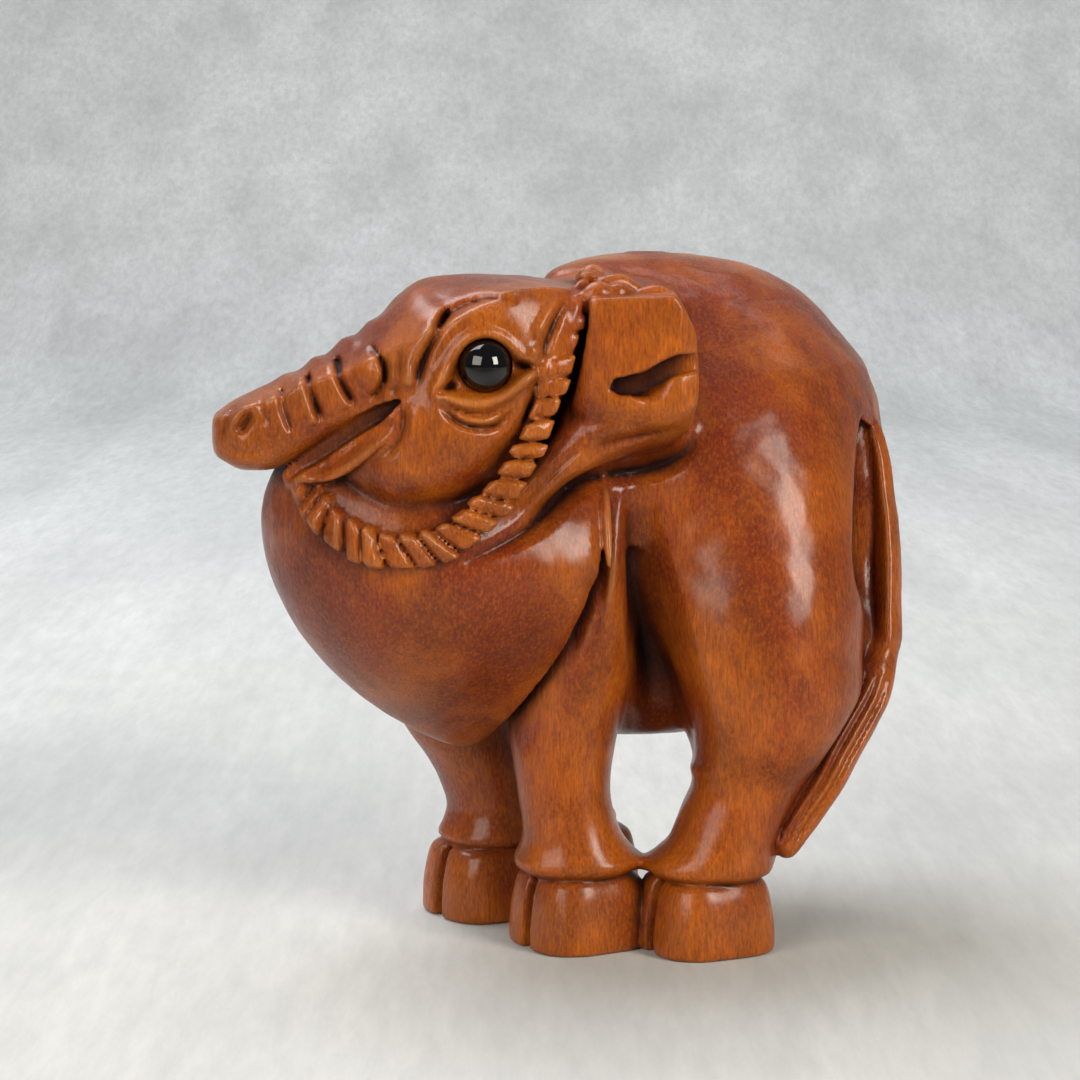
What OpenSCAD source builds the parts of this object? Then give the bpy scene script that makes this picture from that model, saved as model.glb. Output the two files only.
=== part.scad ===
// Ojime bead: a standing ox carved from one piece of wood, with two inlaid eyes and a cord hole.
// The muzzle points to -X, the near side faces -Y, and the soles stand on Z = 0.

/* [Carving] */
// Length from the muzzle to the tail
carving_len = 21.4; // [18:0.1:26]
// Depth from the near cheek to the far flank
carving_depth = 16.1; // [13:0.1:19]
// Height from the soles to the top of the back
carving_h = 21.5; // [18:0.1:26]
// Turn of the body out of the picture plane, in degrees
body_turn = 30; // [22:1:36]

/* [Body] */
// Length of the barrel
barrel_len = 15.5; // [13:0.1:18]
// Width of the barrel
barrel_w = 12.4; // [10:0.1:14]
// Length of the chest in front of its rim
chest_len = 7.8; // [6.5:0.1:9]
// Width of the chest at its rim
chest_w = 10.9; // [9:0.1:12.5]
// Height of the chest, from the keel to its top
chest_h = 10.6; // [9:0.1:12]
// Width of the neck
neck_w = 8; // [6.5:0.1:9.5]

/* [Legs] */
// Thickness of a foreleg at the shank
foreleg_d = 3; // [2.4:0.1:3.6]
// Thickness of a hind leg at the shank
hindleg_d = 2.8; // [2.2:0.1:3.4]
// Length of a hoof
hoof_len = 3.9; // [3.3:0.1:4.2]
// Width of a hoof
hoof_w = 3.9; // [3.3:0.1:4.2]
// Height of a hoof
hoof_h = 2.5; // [2:0.1:3]
// Width of the cleft between the claws
cleft_w = 0.35; // [0.2:0.05:0.6]

/* [Head] */
// Width of the head across the cheeks
head_w = 7.4; // [6.4:0.1:8.4]
// Height of the head at the cheeks
head_h = 7.4; // [6.4:0.1:8.4]
// Opening of the mouth
mouth_gap = 0.45; // [0.2:0.05:0.7]
// Depth of the mouth's cuts
mouth_depth = 0.6; // [0.4:0.05:0.9]
// Length of an ear
ear_len = 3.6; // [2.8:0.1:4.2]
// Height of an ear
ear_h = 4.4; // [3.4:0.1:5]
// Opening of the slit in an ear
ear_slit = 0.5; // [0.3:0.05:0.7]
// Depth of the slit in an ear
ear_slit_depth = 0.5; // [0.3:0.05:0.7]
// Thickness of the halter rope
rope_d = 1.05; // [0.7:0.05:1.4]

/* [Tail] */
// Thickness of the tail
tail_d = 1.1; // [0.8:0.05:1.5]
// Thickness of the tuft at the tail's end
tuft_d = 1.4; // [1:0.05:1.8]

/* [Eyes] */
// Diameter of an inlaid eye
eye_d = 1.5; // [1.1:0.05:1.9]
// Height of an eye's dome
eye_dome_h = 0.5; // [0.3:0.05:0.7]
// Depth of an eye's socket below the dome
eye_socket_depth = 1.1; // [0.7:0.05:1.5]
// Clearance round an eye in its socket
eye_fit = 0.02; // [0:0.01:0.05]

/* [Cord hole] */
// Diameter of the cord hole
cord_bore_d = 2; // [1.4:0.1:2.6]

/* [Hidden] */
// Middle of the cord hole, as shares of the length and depth
cord_bore_shares = [0.206, 0.18, 0];
// Overrun of a cut past the surface it opens
overrun = 1;
BODY_SIDES = 32;
LIMB_SIDES = 22;
CORD_SIDES = 8;
forward = [-cos(body_turn), -sin(body_turn), 0];
farward = [-sin(body_turn), cos(body_turn), 0];
upward = [0, 0, 1];
body_origin_share = [0, -0.031, 0];

// Barrel rings: forward share of its length, height, half length, half width
barrel_shares = [
    [-0.206, 0.286, 0.06, 0.06], [-0.206, 0.295, 0.2, 0.2], [-0.212, 0.325, 0.297, 0.28],
    [-0.225, 0.365, 0.358, 0.33], [-0.235, 0.419, 0.4, 0.365], [-0.24, 0.484, 0.435, 0.39],
    [-0.245, 0.558, 0.47, 0.41], [-0.252, 0.67, 0.493, 0.43], [-0.28, 0.753, 0.455, 0.42],
    [-0.3, 0.819, 0.39, 0.38], [-0.288, 0.893, 0.337, 0.31], [-0.265, 0.94, 0.295, 0.242],
    [-0.23, 0.972, 0.241, 0.161], [-0.212, 0.991, 0.15, 0.097], [-0.206, 1, 0.04, 0.03]];

// Chest rings: way from rim to nose, height, half width, reach up, reach down, sharpness of the keel
chest_lean = 12;
chest_rim_share = 0.127;
chest_shares = [
    [0, 0.567, 0.53, 0.42, 0.593, 1.5], [0.256, 0.575, 0.495, 0.395, 0.54, 1.4],
    [0.51, 0.592, 0.44, 0.355, 0.458, 1.14], [0.705, 0.609, 0.37, 0.304, 0.362, 1.02],
    [0.846, 0.63, 0.28, 0.24, 0.27, 1], [0.936, 0.648, 0.193, 0.178, 0.193, 1],
    [0.982, 0.66, 0.123, 0.116, 0.12, 1], [1, 0.665, 0.046, 0.043, 0.045, 1]];

// Limb rings: place in the carving, then half sizes as shares of the limb's thickness
neck_shares = [
    [0.055, -0.1, 0.974, 0.05, 0.05], [0.055, -0.1, 0.962, 0.19, 0.2], [0.05, -0.1, 0.925, 0.3, 0.33],
    [0.045, -0.085, 0.837, 0.37, 0.43], [0.014, -0.075, 0.698, 0.475, 0.525], [0.027, -0.063, 0.581, 0.45, 0.5]];
shoulder_shares = [
    [0.021, -0.143, 0.763, 0.43, 0.77], [0.016, -0.161, 0.698, 0.48, 0.98],
    [0.014, -0.174, 0.619, 0.57, 1.02], [0.014, -0.177, 0.521, 0.63, 0.95],
    [0.013, -0.168, 0.428, 0.64, 0.8], [0.01, -0.161, 0.372, 0.6, 0.7], [0.005, -0.161, 0.326, 0.53, 0.6],
    [0.005, -0.168, 0.27, 0.37, 0.43]];
left_foreleg_shares = [
    [0.014, -0.155, 0.45, 0.4, 0.5], [0.012, -0.16, 0.37, 0.52, 0.6], [0.006, -0.171, 0.312, 0.55, 0.6],
    [0.006, -0.183, 0.237, 0.49, 0.57], [0.012, -0.189, 0.195, 0.49, 0.56],
    [0.019, -0.189, 0.163, 0.52, 0.58], [0.024, -0.189, 0.135, 0.62, 0.63], [0.024, -0.189, 0.09, 0.5, 0.5]];
right_foreleg_shares = [
    [-0.06, 0.09, 0.78, 0.1, 0.1], [-0.09, 0.1, 0.72, 0.55, 0.7], [-0.117, 0.112, 0.605, 0.75, 0.95],
    [-0.132, 0.107, 0.488, 0.8, 0.95], [-0.142, 0.098, 0.372, 0.77, 0.8], [-0.143, 0.09, 0.293, 0.65, 0.67],
    [-0.12, 0.084, 0.228, 0.5, 0.57], [-0.103, 0.08, 0.172, 0.45, 0.53], [-0.103, 0.078, 0.135, 0.46, 0.53],
    [-0.106, 0.077, 0.115, 0.54, 0.57], [-0.106, 0.077, 0.09, 0.5, 0.5]];
left_hindleg_shares = [
    [0.248, 0.037, 0.892, 0.3, 0.3], [0.252, 0.019, 0.865, 0.72, 0.8], [0.258, -0.006, 0.814, 0.97, 1.13],
    [0.264, -0.025, 0.758, 1.14, 1.29], [0.275, -0.062, 0.651, 1.25, 1.43], [0.28, -0.099, 0.53, 1.3, 1.49],
    [0.284, -0.137, 0.428, 1.21, 1.36], [0.293, -0.17, 0.363, 1.11, 1.14], [0.289, -0.198, 0.3, 0.87, 0.92],
    [0.275, -0.212, 0.247, 0.63, 0.72], [0.255, -0.22, 0.205, 0.59, 0.67],
    [0.237, -0.226, 0.163, 0.59, 0.67], [0.222, -0.228, 0.13, 0.68, 0.69], [0.222, -0.228, 0.09, 0.5, 0.5]];
right_hindleg_shares = [
    [0.16, 0.2, 0.9, 0.1, 0.1], [0.15, 0.225, 0.85, 0.7, 0.75], [0.14, 0.25, 0.76, 1.0, 1.05],
    [0.122, 0.264, 0.651, 1.2, 1.25], [0.1, 0.271, 0.53, 1.22, 1.25], [0.075, 0.27, 0.43, 1.1, 1.15],
    [0.054, 0.27, 0.362, 0.86, 0.97], [0.038, 0.264, 0.3, 0.58, 0.77], [0.018, 0.258, 0.247, 0.46, 0.64],
    [0.016, 0.252, 0.205, 0.46, 0.625], [0.023, 0.245, 0.153, 0.52, 0.62], [0.035, 0.242, 0.122, 0.62, 0.65],
    [0.035, 0.242, 0.09, 0.5, 0.5]];

// Flank between the shoulder and the haunch
flank_shares = [
    [0.196, -0.093, 0.837, 0.1, 0.08], [0.21, -0.087, 0.79, 0.19, 0.19], [0.2, -0.093, 0.744, 0.21, 0.235],
    [0.187, -0.093, 0.698, 0.21, 0.26], [0.168, -0.1, 0.628, 0.18, 0.26],
    [0.154, -0.1, 0.558, 0.145, 0.225], [0.145, -0.1, 0.488, 0.11, 0.185], [0.14, -0.1, 0.442, 0.04, 0.07]];

// Middle of each hoof: near fore, far fore, near hind, far hind
hoof_place_shares = [[0.022, -0.189, 0], [-0.106, 0.077, 0], [0.214, -0.23, 0], [0.038, 0.242, 0]];
// Hoof rings: height, half size
hoof_shares = [[0, 0.47], [0.06, 0.5], [0.5, 0.48], [0.92, 0.45], [1, 0.4]];

// Head rings: x, middle's height, half width, reach up, reach down; the muzzle swings to the near side
head_y_share = -0.264;
head_swing_share = 0.1;
head_shares = [
    [-0.49, 0.76, 0.07, 0.04, 0.04], [-0.482, 0.758, 0.155, 0.1, 0.1], [-0.461, 0.753, 0.216, 0.135, 0.135],
    [-0.428, 0.751, 0.25, 0.165, 0.165], [-0.381, 0.76, 0.27, 0.21, 0.2], [-0.333, 0.769, 0.29, 0.27, 0.33],
    [-0.274, 0.777, 0.35, 0.385, 0.48], [-0.228, 0.786, 0.43, 0.46, 0.53], [-0.183, 0.795, 0.48, 0.507, 0.54],
    [-0.137, 0.805, 0.5, 0.507, 0.5], [-0.091, 0.819, 0.5, 0.466, 0.43], [-0.046, 0.842, 0.47, 0.385, 0.35],
    [0, 0.874, 0.42, 0.25, 0.25], [0.037, 0.902, 0.31, 0.12, 0.12], [0.05, 0.907, 0.16, 0.04, 0.04]];
// Mouth cuts: x, height, way out from the middle of the head, opening
mouth_shares = [
    [-0.43, 0.699, 0.25, 0.3], [-0.415, 0.708, 0.25, 1], [-0.32, 0.758, 0.3, 1], [-0.235, 0.812, 0.44, 1],
    [-0.222, 0.82, 0.46, 0.3]];
// Middle of each eye: x, height, and how far out its rim lies from the middle of the head
eye_shares = [-0.103, 0.859, 0.49];

// Root of each ear, its turn from +X in degrees and the side its slit faces; the far ear lies across the neck
ear_roots = [[[0.023, -0.365, 0.853], 0, -1], [[-0.012, -0.1, 0.825], 95, 1]];
// Ear rings: way along, rise, half thickness, half height
ear_d_share = 0.62;
ear_shares = [
    [0, 0, 0.36, 0.5], [0.14, 0, 0.48, 0.53], [0.42, -0.02, 0.5, 0.52], [0.7, -0.04, 0.48, 0.51],
    [0.9, -0.07, 0.45, 0.44], [1, -0.1, 0.34, 0.28]];
// Ear slit rings: way along, rise, opening
ear_slit_shares = [[0.24, -0.11, 0.3], [0.36, -0.09, 1], [0.62, -0.03, 1.2], [0.88, 0.05, 1.1], [0.99, 0.08, 0.5]];

// Rope from the poll to the chin: x, way out from the middle of the head, height, thickness
rope_shares = [
    [0.049, -0.03, 0.97, 0.5], [0.044, 0.068, 0.97, 0.53], [0.029, 0.118, 0.953, 0.57],
    [0.019, 0.152, 0.927, 0.6], [0.009, 0.174, 0.893, 0.62], [-0.001, 0.186, 0.855, 0.65],
    [-0.015, 0.196, 0.814, 0.68], [-0.029, 0.204, 0.777, 0.72], [-0.043, 0.208, 0.744, 0.76],
    [-0.063, 0.211, 0.711, 0.82], [-0.086, 0.212, 0.678, 0.9], [-0.114, 0.212, 0.648, 0.95],
    [-0.145, 0.211, 0.624, 1], [-0.18, 0.206, 0.608, 1], [-0.221, 0.199, 0.603, 1],
    [-0.263, 0.186, 0.608, 1], [-0.298, 0.168, 0.622, 1], [-0.325, 0.14, 0.645, 0.95],
    [-0.344, 0.109, 0.667, 0.86], [-0.361, 0.068, 0.686, 0.7], [-0.367, 0, 0.686, 0.6]];

// Fold of skin from the ear down beside the rope: place in the carving, then thickness
fold_shares = [
    [0.05, -0.34, 0.87, 0.45], [0.055, -0.345, 0.82, 0.85], [0.06, -0.355, 0.78, 0.95],
    [0.035, -0.36, 0.755, 1.05], [0.005, -0.355, 0.725, 1.05], [-0.035, -0.35, 0.685, 0.95],
    [-0.075, -0.345, 0.65, 0.75], [-0.1, -0.34, 0.63, 0.4]];

// Outline of the gouge between the haunch and the tail, as x and height, and the way in to its floor at each height
gouge_shares = [
    [0.444, 0.758], [0.432, 0.712], [0.425, 0.642], [0.422, 0.572], [0.427, 0.533], [0.438, 0.502],
    [0.444, 0.474], [0.449, 0.437], [0.463, 0.423], [0.49, 0.45], [0.49, 0.74]];
gouge_floor_shares = [-0.195, 0.294];

// Root of the tail: place in the carving, then thickness
tail_root_shares = [
    [0.416, 0.056, 0.791, 0.9], [0.437, 0.047, 0.74, 1.1], [0.449, 0.031, 0.674, 1.13],
    [0.453, 0.012, 0.6, 1.13], [0.453, 0, 0.535, 1.1], [0.449, -0.031, 0.474, 1.13],
    [0.439, -0.068, 0.419, 1.27], [0.416, -0.106, 0.353, 1.45]];
// Stem rings: place in the carving, then half sizes as shares of the tail's thickness
tail_shares = [
    [0.456, 0.043, 0.777, 0.1, 0.1], [0.467, 0.025, 0.74, 0.27, 0.33], [0.477, 0.012, 0.698, 0.33, 0.45],
    [0.481, 0, 0.651, 0.36, 0.55], [0.486, -0.016, 0.6, 0.38, 0.64], [0.488, -0.034, 0.54, 0.42, 0.68],
    [0.486, -0.056, 0.479, 0.44, 0.68], [0.485, -0.075, 0.437, 0.46, 0.64], [0.477, -0.09, 0.4, 0.41, 0.46]];
// Tuft: place in the carving, then thickness
tuft_shares = [
    [0.481, -0.081, 0.437, 0.43], [0.472, -0.099, 0.4, 0.77], [0.458, -0.121, 0.363, 0.94],
    [0.435, -0.149, 0.326, 1], [0.408, -0.177, 0.284, 1], [0.387, -0.199, 0.244, 0.97],
    [0.36, -0.217, 0.2, 0.86], [0.341, -0.23, 0.167, 0.71], [0.337, -0.235, 0.151, 0.51]];

// Place of a point given in shares of the carving's length, depth and height
function place(share) = [share[0] * carving_len, share[1] * carving_depth, share[2] * carving_h];
function unit(v) = v / norm(v);
function lobe(value, power) = sign(value) * pow(abs(value), power);

// Point on a smooth curve through the rows, at a way counted in rows
function between(rows, way) =
    let (last = len(rows) - 1, i = min(floor(way), last - 1), f = way - i)
    let (a = rows[max(i - 1, 0)], b = rows[i], c = rows[i + 1], d = rows[min(i + 2, last)])
    b + (c - a + (2 * a - 5 * b + 4 * c - d + (3 * (b - c) + d - a) * f) * f) * f / 2;
function smooth_rows(rows, steps) = [for (k = [0 : steps]) between(rows, k * (len(rows) - 1) / steps)];

// Ring of points round a centre, with half sizes to the side, up and down, and powers across, up and down
function ring(centre, side, up, halves, power, sides) = [
    for (k = [0 : sides - 1])
        let (low = sin(360 * k / sides) < 0 && len(power) > 2)
        let (s = lobe(sin(360 * k / sides), low ? power[2] : power[1]))
        let (c = lobe(cos(360 * k / sides), low ? power[2] : power[0]))
        centre + side * halves[0] * c + up * (s > 0 ? halves[1] : halves[2]) * s];

// Closed skin over rings with the same number of points
module skin(rings) {
    n = len(rings[0]);
    last = len(rings) - 1;
    walls = [for (i = [0 : last - 1], j = [0 : n - 1])
        let (a = i * n + j, b = i * n + (j + 1) % n)
        each [[a, b + n, b], [a, a + n, b + n]]];
    ends = [[for (j = [0 : n - 1]) j], [for (j = [n - 1 : -1 : 0]) last * n + j]];
    polyhedron([for (r = rings) each r], concat(walls, ends));
}

// Upright limb: rows hold a place and two half sizes
module limb(rows, thickness, steps, turn = 0, power = [0.87, 0.87], sides = LIMB_SIDES) {
    side = [cos(turn), sin(turn), 0];
    up = [sin(turn), -cos(turn), 0];
    skin([for (r = smooth_rows(rows, steps))
        ring(place(r), side, up, [r[3], r[4], r[4]] * thickness, power, sides)]);
}

// Tube along a path, its thickness taken from a function of the row
function path_ring(rows, k, hub, thickness, swell) =
    let (here = place(rows[k]), run = unit(place(rows[min(k + 1, len(rows) - 1)]) - place(rows[max(k - 1, 0)])))
    let (side = unit(cross(run, here - hub)), up = cross(run, side), r = rows[k][3] * thickness * swell / 2)
    ring(here, side, up, [r, r, r], [1, 1], CORD_SIDES);

module barrel() {
    skin([for (r = smooth_rows(barrel_shares, 26))
        ring(place(body_origin_share) + forward * r[0] * barrel_len + upward * r[1] * carving_h,
            forward, -farward, [r[2] * barrel_len, r[3] * barrel_w, r[3] * barrel_w], [1, 1], BODY_SIDES)]);
}

module chest() {
    lean_up = upward * cos(chest_lean) - forward * sin(chest_lean);
    skin([for (r = smooth_rows(chest_shares, 16))
        ring(place(body_origin_share) + forward * (chest_rim_share * barrel_len + r[0] * chest_len)
            + upward * r[1] * carving_h, -farward, lean_up,
            [r[2] * chest_w, r[3] * chest_h, r[4] * chest_h], [1, 1, r[5]], BODY_SIDES)]);
}

module hoof(at) {
    difference() {
        skin([for (r = hoof_shares)
            ring(place(at) + upward * r[0] * hoof_h, forward, -farward,
                [r[1] * hoof_len, r[1] * hoof_w, r[1] * hoof_w], [0.6, 0.6], LIMB_SIDES)]);
        translate(place(at) + forward * hoof_len / 2)
            rotate(body_turn)
                cube([hoof_len / 2, cleft_w, 2 * hoof_h], center = true);
    }
}

// Middle plane of the head at a share of the carving's length
function head_y(x_share) = (head_y_share + head_swing_share * x_share) * carving_depth;

module head() {
    skin([for (r = smooth_rows(head_shares, 26))
        ring([r[0] * carving_len, head_y(r[0]), r[1] * carving_h], [0, 1, 0], upward,
            [r[2] * head_w, r[3] * head_h, r[4] * head_h], [0.75, 0.7], 24)]);
}

module mouth_cut(side) {
    skin([for (r = smooth_rows(mouth_shares, 8))
        ring([r[0] * carving_len, head_y(r[0]) + side * r[2] * head_w, r[1] * carving_h], [0, 1, 0], upward,
            [mouth_depth, r[3] * mouth_gap / 2, r[3] * mouth_gap / 2], [1, 1], 8)]);
}

// Puts a piece at an eye's rim, with +Z pointing out of the head
module at_eye(side) {
    translate([eye_shares[0] * carving_len, head_y(eye_shares[0]) + side * eye_shares[2] * head_w,
        eye_shares[1] * carving_h])
        rotate([-90 * side, 0, 0])
            children();
}

module eye_socket_cut(side) {
    at_eye(side)
        translate([0, 0, -eye_socket_depth])
            cylinder(d = eye_d + 2 * eye_fit, h = eye_socket_depth + overrun, $fn = 48);
}

// Peg with a domed head, standing on the floor of its socket
module eye(side) {
    dome_r = (pow(eye_d / 2, 2) + pow(eye_dome_h, 2)) / (2 * eye_dome_h);
    color("#0b0a0a") at_eye(side) {
        translate([0, 0, -eye_socket_depth])
            cylinder(d = eye_d, h = eye_socket_depth, $fn = 48);
        intersection() {
            cylinder(d = eye_d, h = eye_dome_h + overrun, $fn = 48);
            translate([0, 0, eye_dome_h - dome_r]) sphere(r = dome_r, $fn = 48);
        }
    }
}

module left_eye() { eye(-1); }

module right_eye() { eye(1); }

function ear_run(root) = [cos(root[1]), sin(root[1]), 0];

module ear(root) {
    along = ear_run(root);
    skin([for (r = smooth_rows(ear_shares, 10))
        ring(place(root[0]) + along * r[0] * ear_len + upward * r[1] * ear_h, cross(upward, along), upward,
            [r[2] * ear_d_share * ear_h, r[3] * ear_h, r[3] * ear_h], [0.6, 0.5], 16)]);
}

module ear_slit_cut(root) {
    along = ear_run(root);
    outward = cross(upward, along) * root[2];
    skin([for (r = smooth_rows(ear_slit_shares, 6))
        ring(place(root[0]) + along * r[0] * ear_len + upward * r[1] * ear_h
            + outward * ear_d_share * ear_h / 2, cross(upward, along), upward,
            [ear_slit_depth, r[2] * ear_slit / 2, r[2] * ear_slit / 2], [1, 1], 8)]);
}

// One side of the halter rope, from the poll down to the chin
module rope(side) {
    rows = [for (r = smooth_rows(rope_shares, 46)) [r[0], head_y(r[0]) / carving_depth + side * r[1], r[2], r[3]]];
    hub = place([-0.137, head_y_share, 0.8]);
    skin([for (k = [0 : len(rows) - 1]) path_ring(rows, k, hub, rope_d, 1 + 0.12 * cos(90 * k))]);
}

// Rope-like bar along a path that holds places and thicknesses
module bar(rows, steps, thickness) {
    path = smooth_rows(rows, steps);
    hub = place([0.2, 0.1, 0.5]);
    skin([for (k = [0 : len(path) - 1]) path_ring(path, k, hub, thickness, 1)]);
}

module gouge_cut() {
    skin([for (near = [0, 1])
        [for (p = gouge_shares)
            place([p[0], near ? -0.5 : gouge_floor_shares[0] + gouge_floor_shares[1] * p[1], p[1]])]]);
}

module tail() {
    bar(tail_root_shares, 14, tail_d);
    limb(tail_shares, tail_d, 16, power = [1.4, 1.4], sides = 12);
    bar(tuft_shares, 16, tuft_d);
}

// The ox without its drilled holes, at its exact length and height
module ox() {
    resize([carving_len, carving_depth, carving_h]) {
        difference() {
            union() {
                difference() {
                    union() {
                        barrel();
                        limb(flank_shares, barrel_w, 10);
                        limb(left_hindleg_shares, hindleg_d, 24);
                    }
                    gouge_cut();
                }
                chest();
                limb(neck_shares, neck_w, 12);
                limb(shoulder_shares, foreleg_d, 10, turn = 8, power = [0.56, 0.56]);
                limb(left_foreleg_shares, foreleg_d, 17);
                limb(right_foreleg_shares, foreleg_d, 18);
                limb(right_hindleg_shares, hindleg_d, 22);
                for (at = hoof_place_shares) hoof(at);
                head();
                for (root = ear_roots) ear(root);
                for (side = [-1, 1]) rope(side);
                bar(fold_shares, 10, 2 * rope_d);
                tail();
            }
            for (side = [-1, 1]) mouth_cut(side);
            for (root = ear_roots) ear_slit_cut(root);
        }
    }
}

module carved_body() {
    color("#a5501c") difference() {
        ox();
        translate(place(cord_bore_shares) - upward * overrun)
            cylinder(d = cord_bore_d, h = carving_h + 2 * overrun, $fn = 48);
        for (side = [-1, 1]) eye_socket_cut(side);
    }
}

carved_body();
left_eye();
right_eye();
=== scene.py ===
"""Looks of the ojime bead: a standing ox carved from stained boxwood, with two inlaid eyes.

The wood is carved as a distance field in millimetres, in the frame of the CAD part: the muzzle points
to -X, the side that the head shows faces -Y, and the soles stand on Z = 0.
"""

import math

import bmesh
import bpy
import numpy as np
import openvdb
from bpy.props import FloatProperty, FloatVectorProperty, PointerProperty
from mathutils import Matrix, Vector


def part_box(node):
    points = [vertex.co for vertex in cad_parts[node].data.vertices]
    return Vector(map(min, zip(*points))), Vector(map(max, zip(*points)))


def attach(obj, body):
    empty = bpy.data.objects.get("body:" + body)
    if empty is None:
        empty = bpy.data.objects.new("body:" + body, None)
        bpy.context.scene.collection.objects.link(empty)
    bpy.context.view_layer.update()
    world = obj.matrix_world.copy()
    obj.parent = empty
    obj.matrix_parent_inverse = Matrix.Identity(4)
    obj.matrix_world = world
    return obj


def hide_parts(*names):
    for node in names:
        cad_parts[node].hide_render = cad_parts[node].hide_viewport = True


bl_info = {
    "name": "Ojime ox",
    "version": (1, 0, 0),
    "blender": (4, 5, 0),
    "location": "3D View > Sidebar > Ojime ox",
    "description": "Carves and finishes an ojime bead in the shape of a standing ox",
    "category": "Object",
}

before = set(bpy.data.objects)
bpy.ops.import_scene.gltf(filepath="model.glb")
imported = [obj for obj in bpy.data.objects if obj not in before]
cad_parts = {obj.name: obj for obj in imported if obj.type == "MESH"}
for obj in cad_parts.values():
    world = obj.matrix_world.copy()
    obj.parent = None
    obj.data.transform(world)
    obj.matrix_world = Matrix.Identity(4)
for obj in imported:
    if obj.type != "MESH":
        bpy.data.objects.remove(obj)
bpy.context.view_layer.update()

MM = 0.001
# Turn of the body out of the picture plane, and the body's middle in X and Y
TURN = math.radians(30)
COS, SIN = math.cos(TURN), math.sin(TURN)
BODY = (0.0, -0.5)
# The head's middle plane: its Y where X is 0, and its swing to the near side along X
HEAD_Y, SWING = -4.25, 0.0752
# Place of the cord hole in X and Y, and of the eyes in X and Z
CORD_PLACE = (4.408, 2.898)
EYE_PLACE = (-2.204, 18.4685)
# How far a socket's floor stands out from the head's middle, and the slack between a socket and its eye
SOCKET_FLOOR, SOCKET_SLACK = 2.6, 0.04
# Corners of the block of wood, and of a window that covers all of it
BLOCK = (-11.0, -9.0, -0.4), (11.5, 8.3, 22.0)
WHOLE = (-99,) * 3, (99,) * 3
# Value of the field away from the wood, and room around a limb or a bar for its fillet
FAR, LIMB_ROOM, BAR_ROOM = 4.0, 1.5, 1.0
# Height of the marks that a round knife leaves
TOOL_MARK = 0.015
# Reach of the blurs that tell how edged, hollow and proud the wood is, and how far off its surface they look
BLURS, BAND = (0.18, 0.6, 1.5), 0.8
# Most triangles in the mesh of the wood, and the steps up an eye's dome and around an eye
MOST_TRIANGLES, DOME_STEPS, EYE_STEPS = 188000, 14, 72


# Curves and tables


def smooth(rows, steps=12):
    """Rows of numbers turned into many, along a curve that passes through each of them"""
    p = np.array(rows, float)
    p = np.vstack([2 * p[0] - p[1], p, 2 * p[-1] - p[-2]])
    t = np.linspace(0, 1, steps, endpoint=False)[:, None]
    out = []
    for a, b, c, d in zip(p, p[1:], p[2:], p[3:]):
        out.append(b + (c - a + (2 * a - 5 * b + 4 * c - d + (3 * (b - c) + d - a) * t) * t) * t / 2)
    return np.vstack(out + [p[-2:-1]])


def column(rows, key, at):
    """One column of a table, read at the places of its first column"""
    order = np.argsort(rows[:, 0])
    return np.interp(at, rows[order, 0], rows[order, key]).astype(np.float32)


def melt(a, b, k):
    """Union of two distance fields, with a fillet of about k"""
    k = np.maximum(k, 1e-4)
    h = np.maximum(k - np.abs(a - b), 0) / k
    return np.minimum(a, b) - h * h * k / 4


def trim(a, b, k):
    """Part of a that also lies in b, with an edge rounded by about k"""
    return -melt(-a, -b, k)


def ease(low, high, value):
    """Rises softly from 0 at the low end to 1 at the high end, which may be the smaller number"""
    t = np.clip((value - low) / (high - low), 0, 1)
    return t * t * (3 - 2 * t)


def even(r, cell, along=None):
    """Distance to r = 1 for a shape function that grows outwards; its slope along an axis can be held down"""
    g = [a * a for a in np.gradient(r, cell)]
    if along is not None:
        across = sum(a for i, a in enumerate(g) if i != along)
        g[along] = np.minimum(g[along], 2.5 * across)
    return (r - 1) / np.sqrt(sum(g) + 1e-4)


def near_curve(u, v, points):
    """Distance in a plane to a drawn line, how far along it (0 to 1) that is, and the side (left is +)"""
    p = np.array(points, float)
    lengths = np.hypot(*np.diff(p[:, :2], axis=0).T)
    starts = np.concatenate([[0], np.cumsum(lengths)]) / lengths.sum()
    best = np.full(np.broadcast(u, v).shape, 99, np.float32)
    way = np.zeros_like(best)
    side = np.ones_like(best)
    for i, (a, b) in enumerate(zip(p, p[1:])):
        run = b[:2] - a[:2]
        t = np.clip(((u - a[0]) * run[0] + (v - a[1]) * run[1]) / (run @ run), 0, 1)
        du, dv = u - a[0] - t * run[0], v - a[1] - t * run[1]
        gap = np.hypot(du, dv)
        closer = gap < best
        best = np.where(closer, gap, best)
        way = np.where(closer, starts[i] + t * (starts[i + 1] - starts[i]), way)
        side = np.where(closer, np.sign(run[0] * dv - run[1] * du), side)
    return best, way, side


def inside(u, v, points):
    """Distance in a plane to a closed outline, negative inside it"""
    p = np.array(points, float)
    gap, _, _ = near_curve(u, v, np.vstack([p, p[:1]]))
    odd = np.zeros(gap.shape, bool)
    for a, b in zip(p, np.roll(p, -1, 0)):
        if a[1] != b[1]:
            crossing = (b[0] - a[0]) * (v - a[1]) / (b[1] - a[1]) + a[0]
            odd ^= ((a[1] > v) != (b[1] > v)) & (u < crossing)
    return np.where(odd, -gap, gap)


def taper(way, start=0.18, end=0.18):
    """Fades a line out at its ends"""
    return np.minimum(np.clip(way / start, 0, 1), np.clip((1 - way) / end, 0, 1)) ** 0.6


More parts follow.
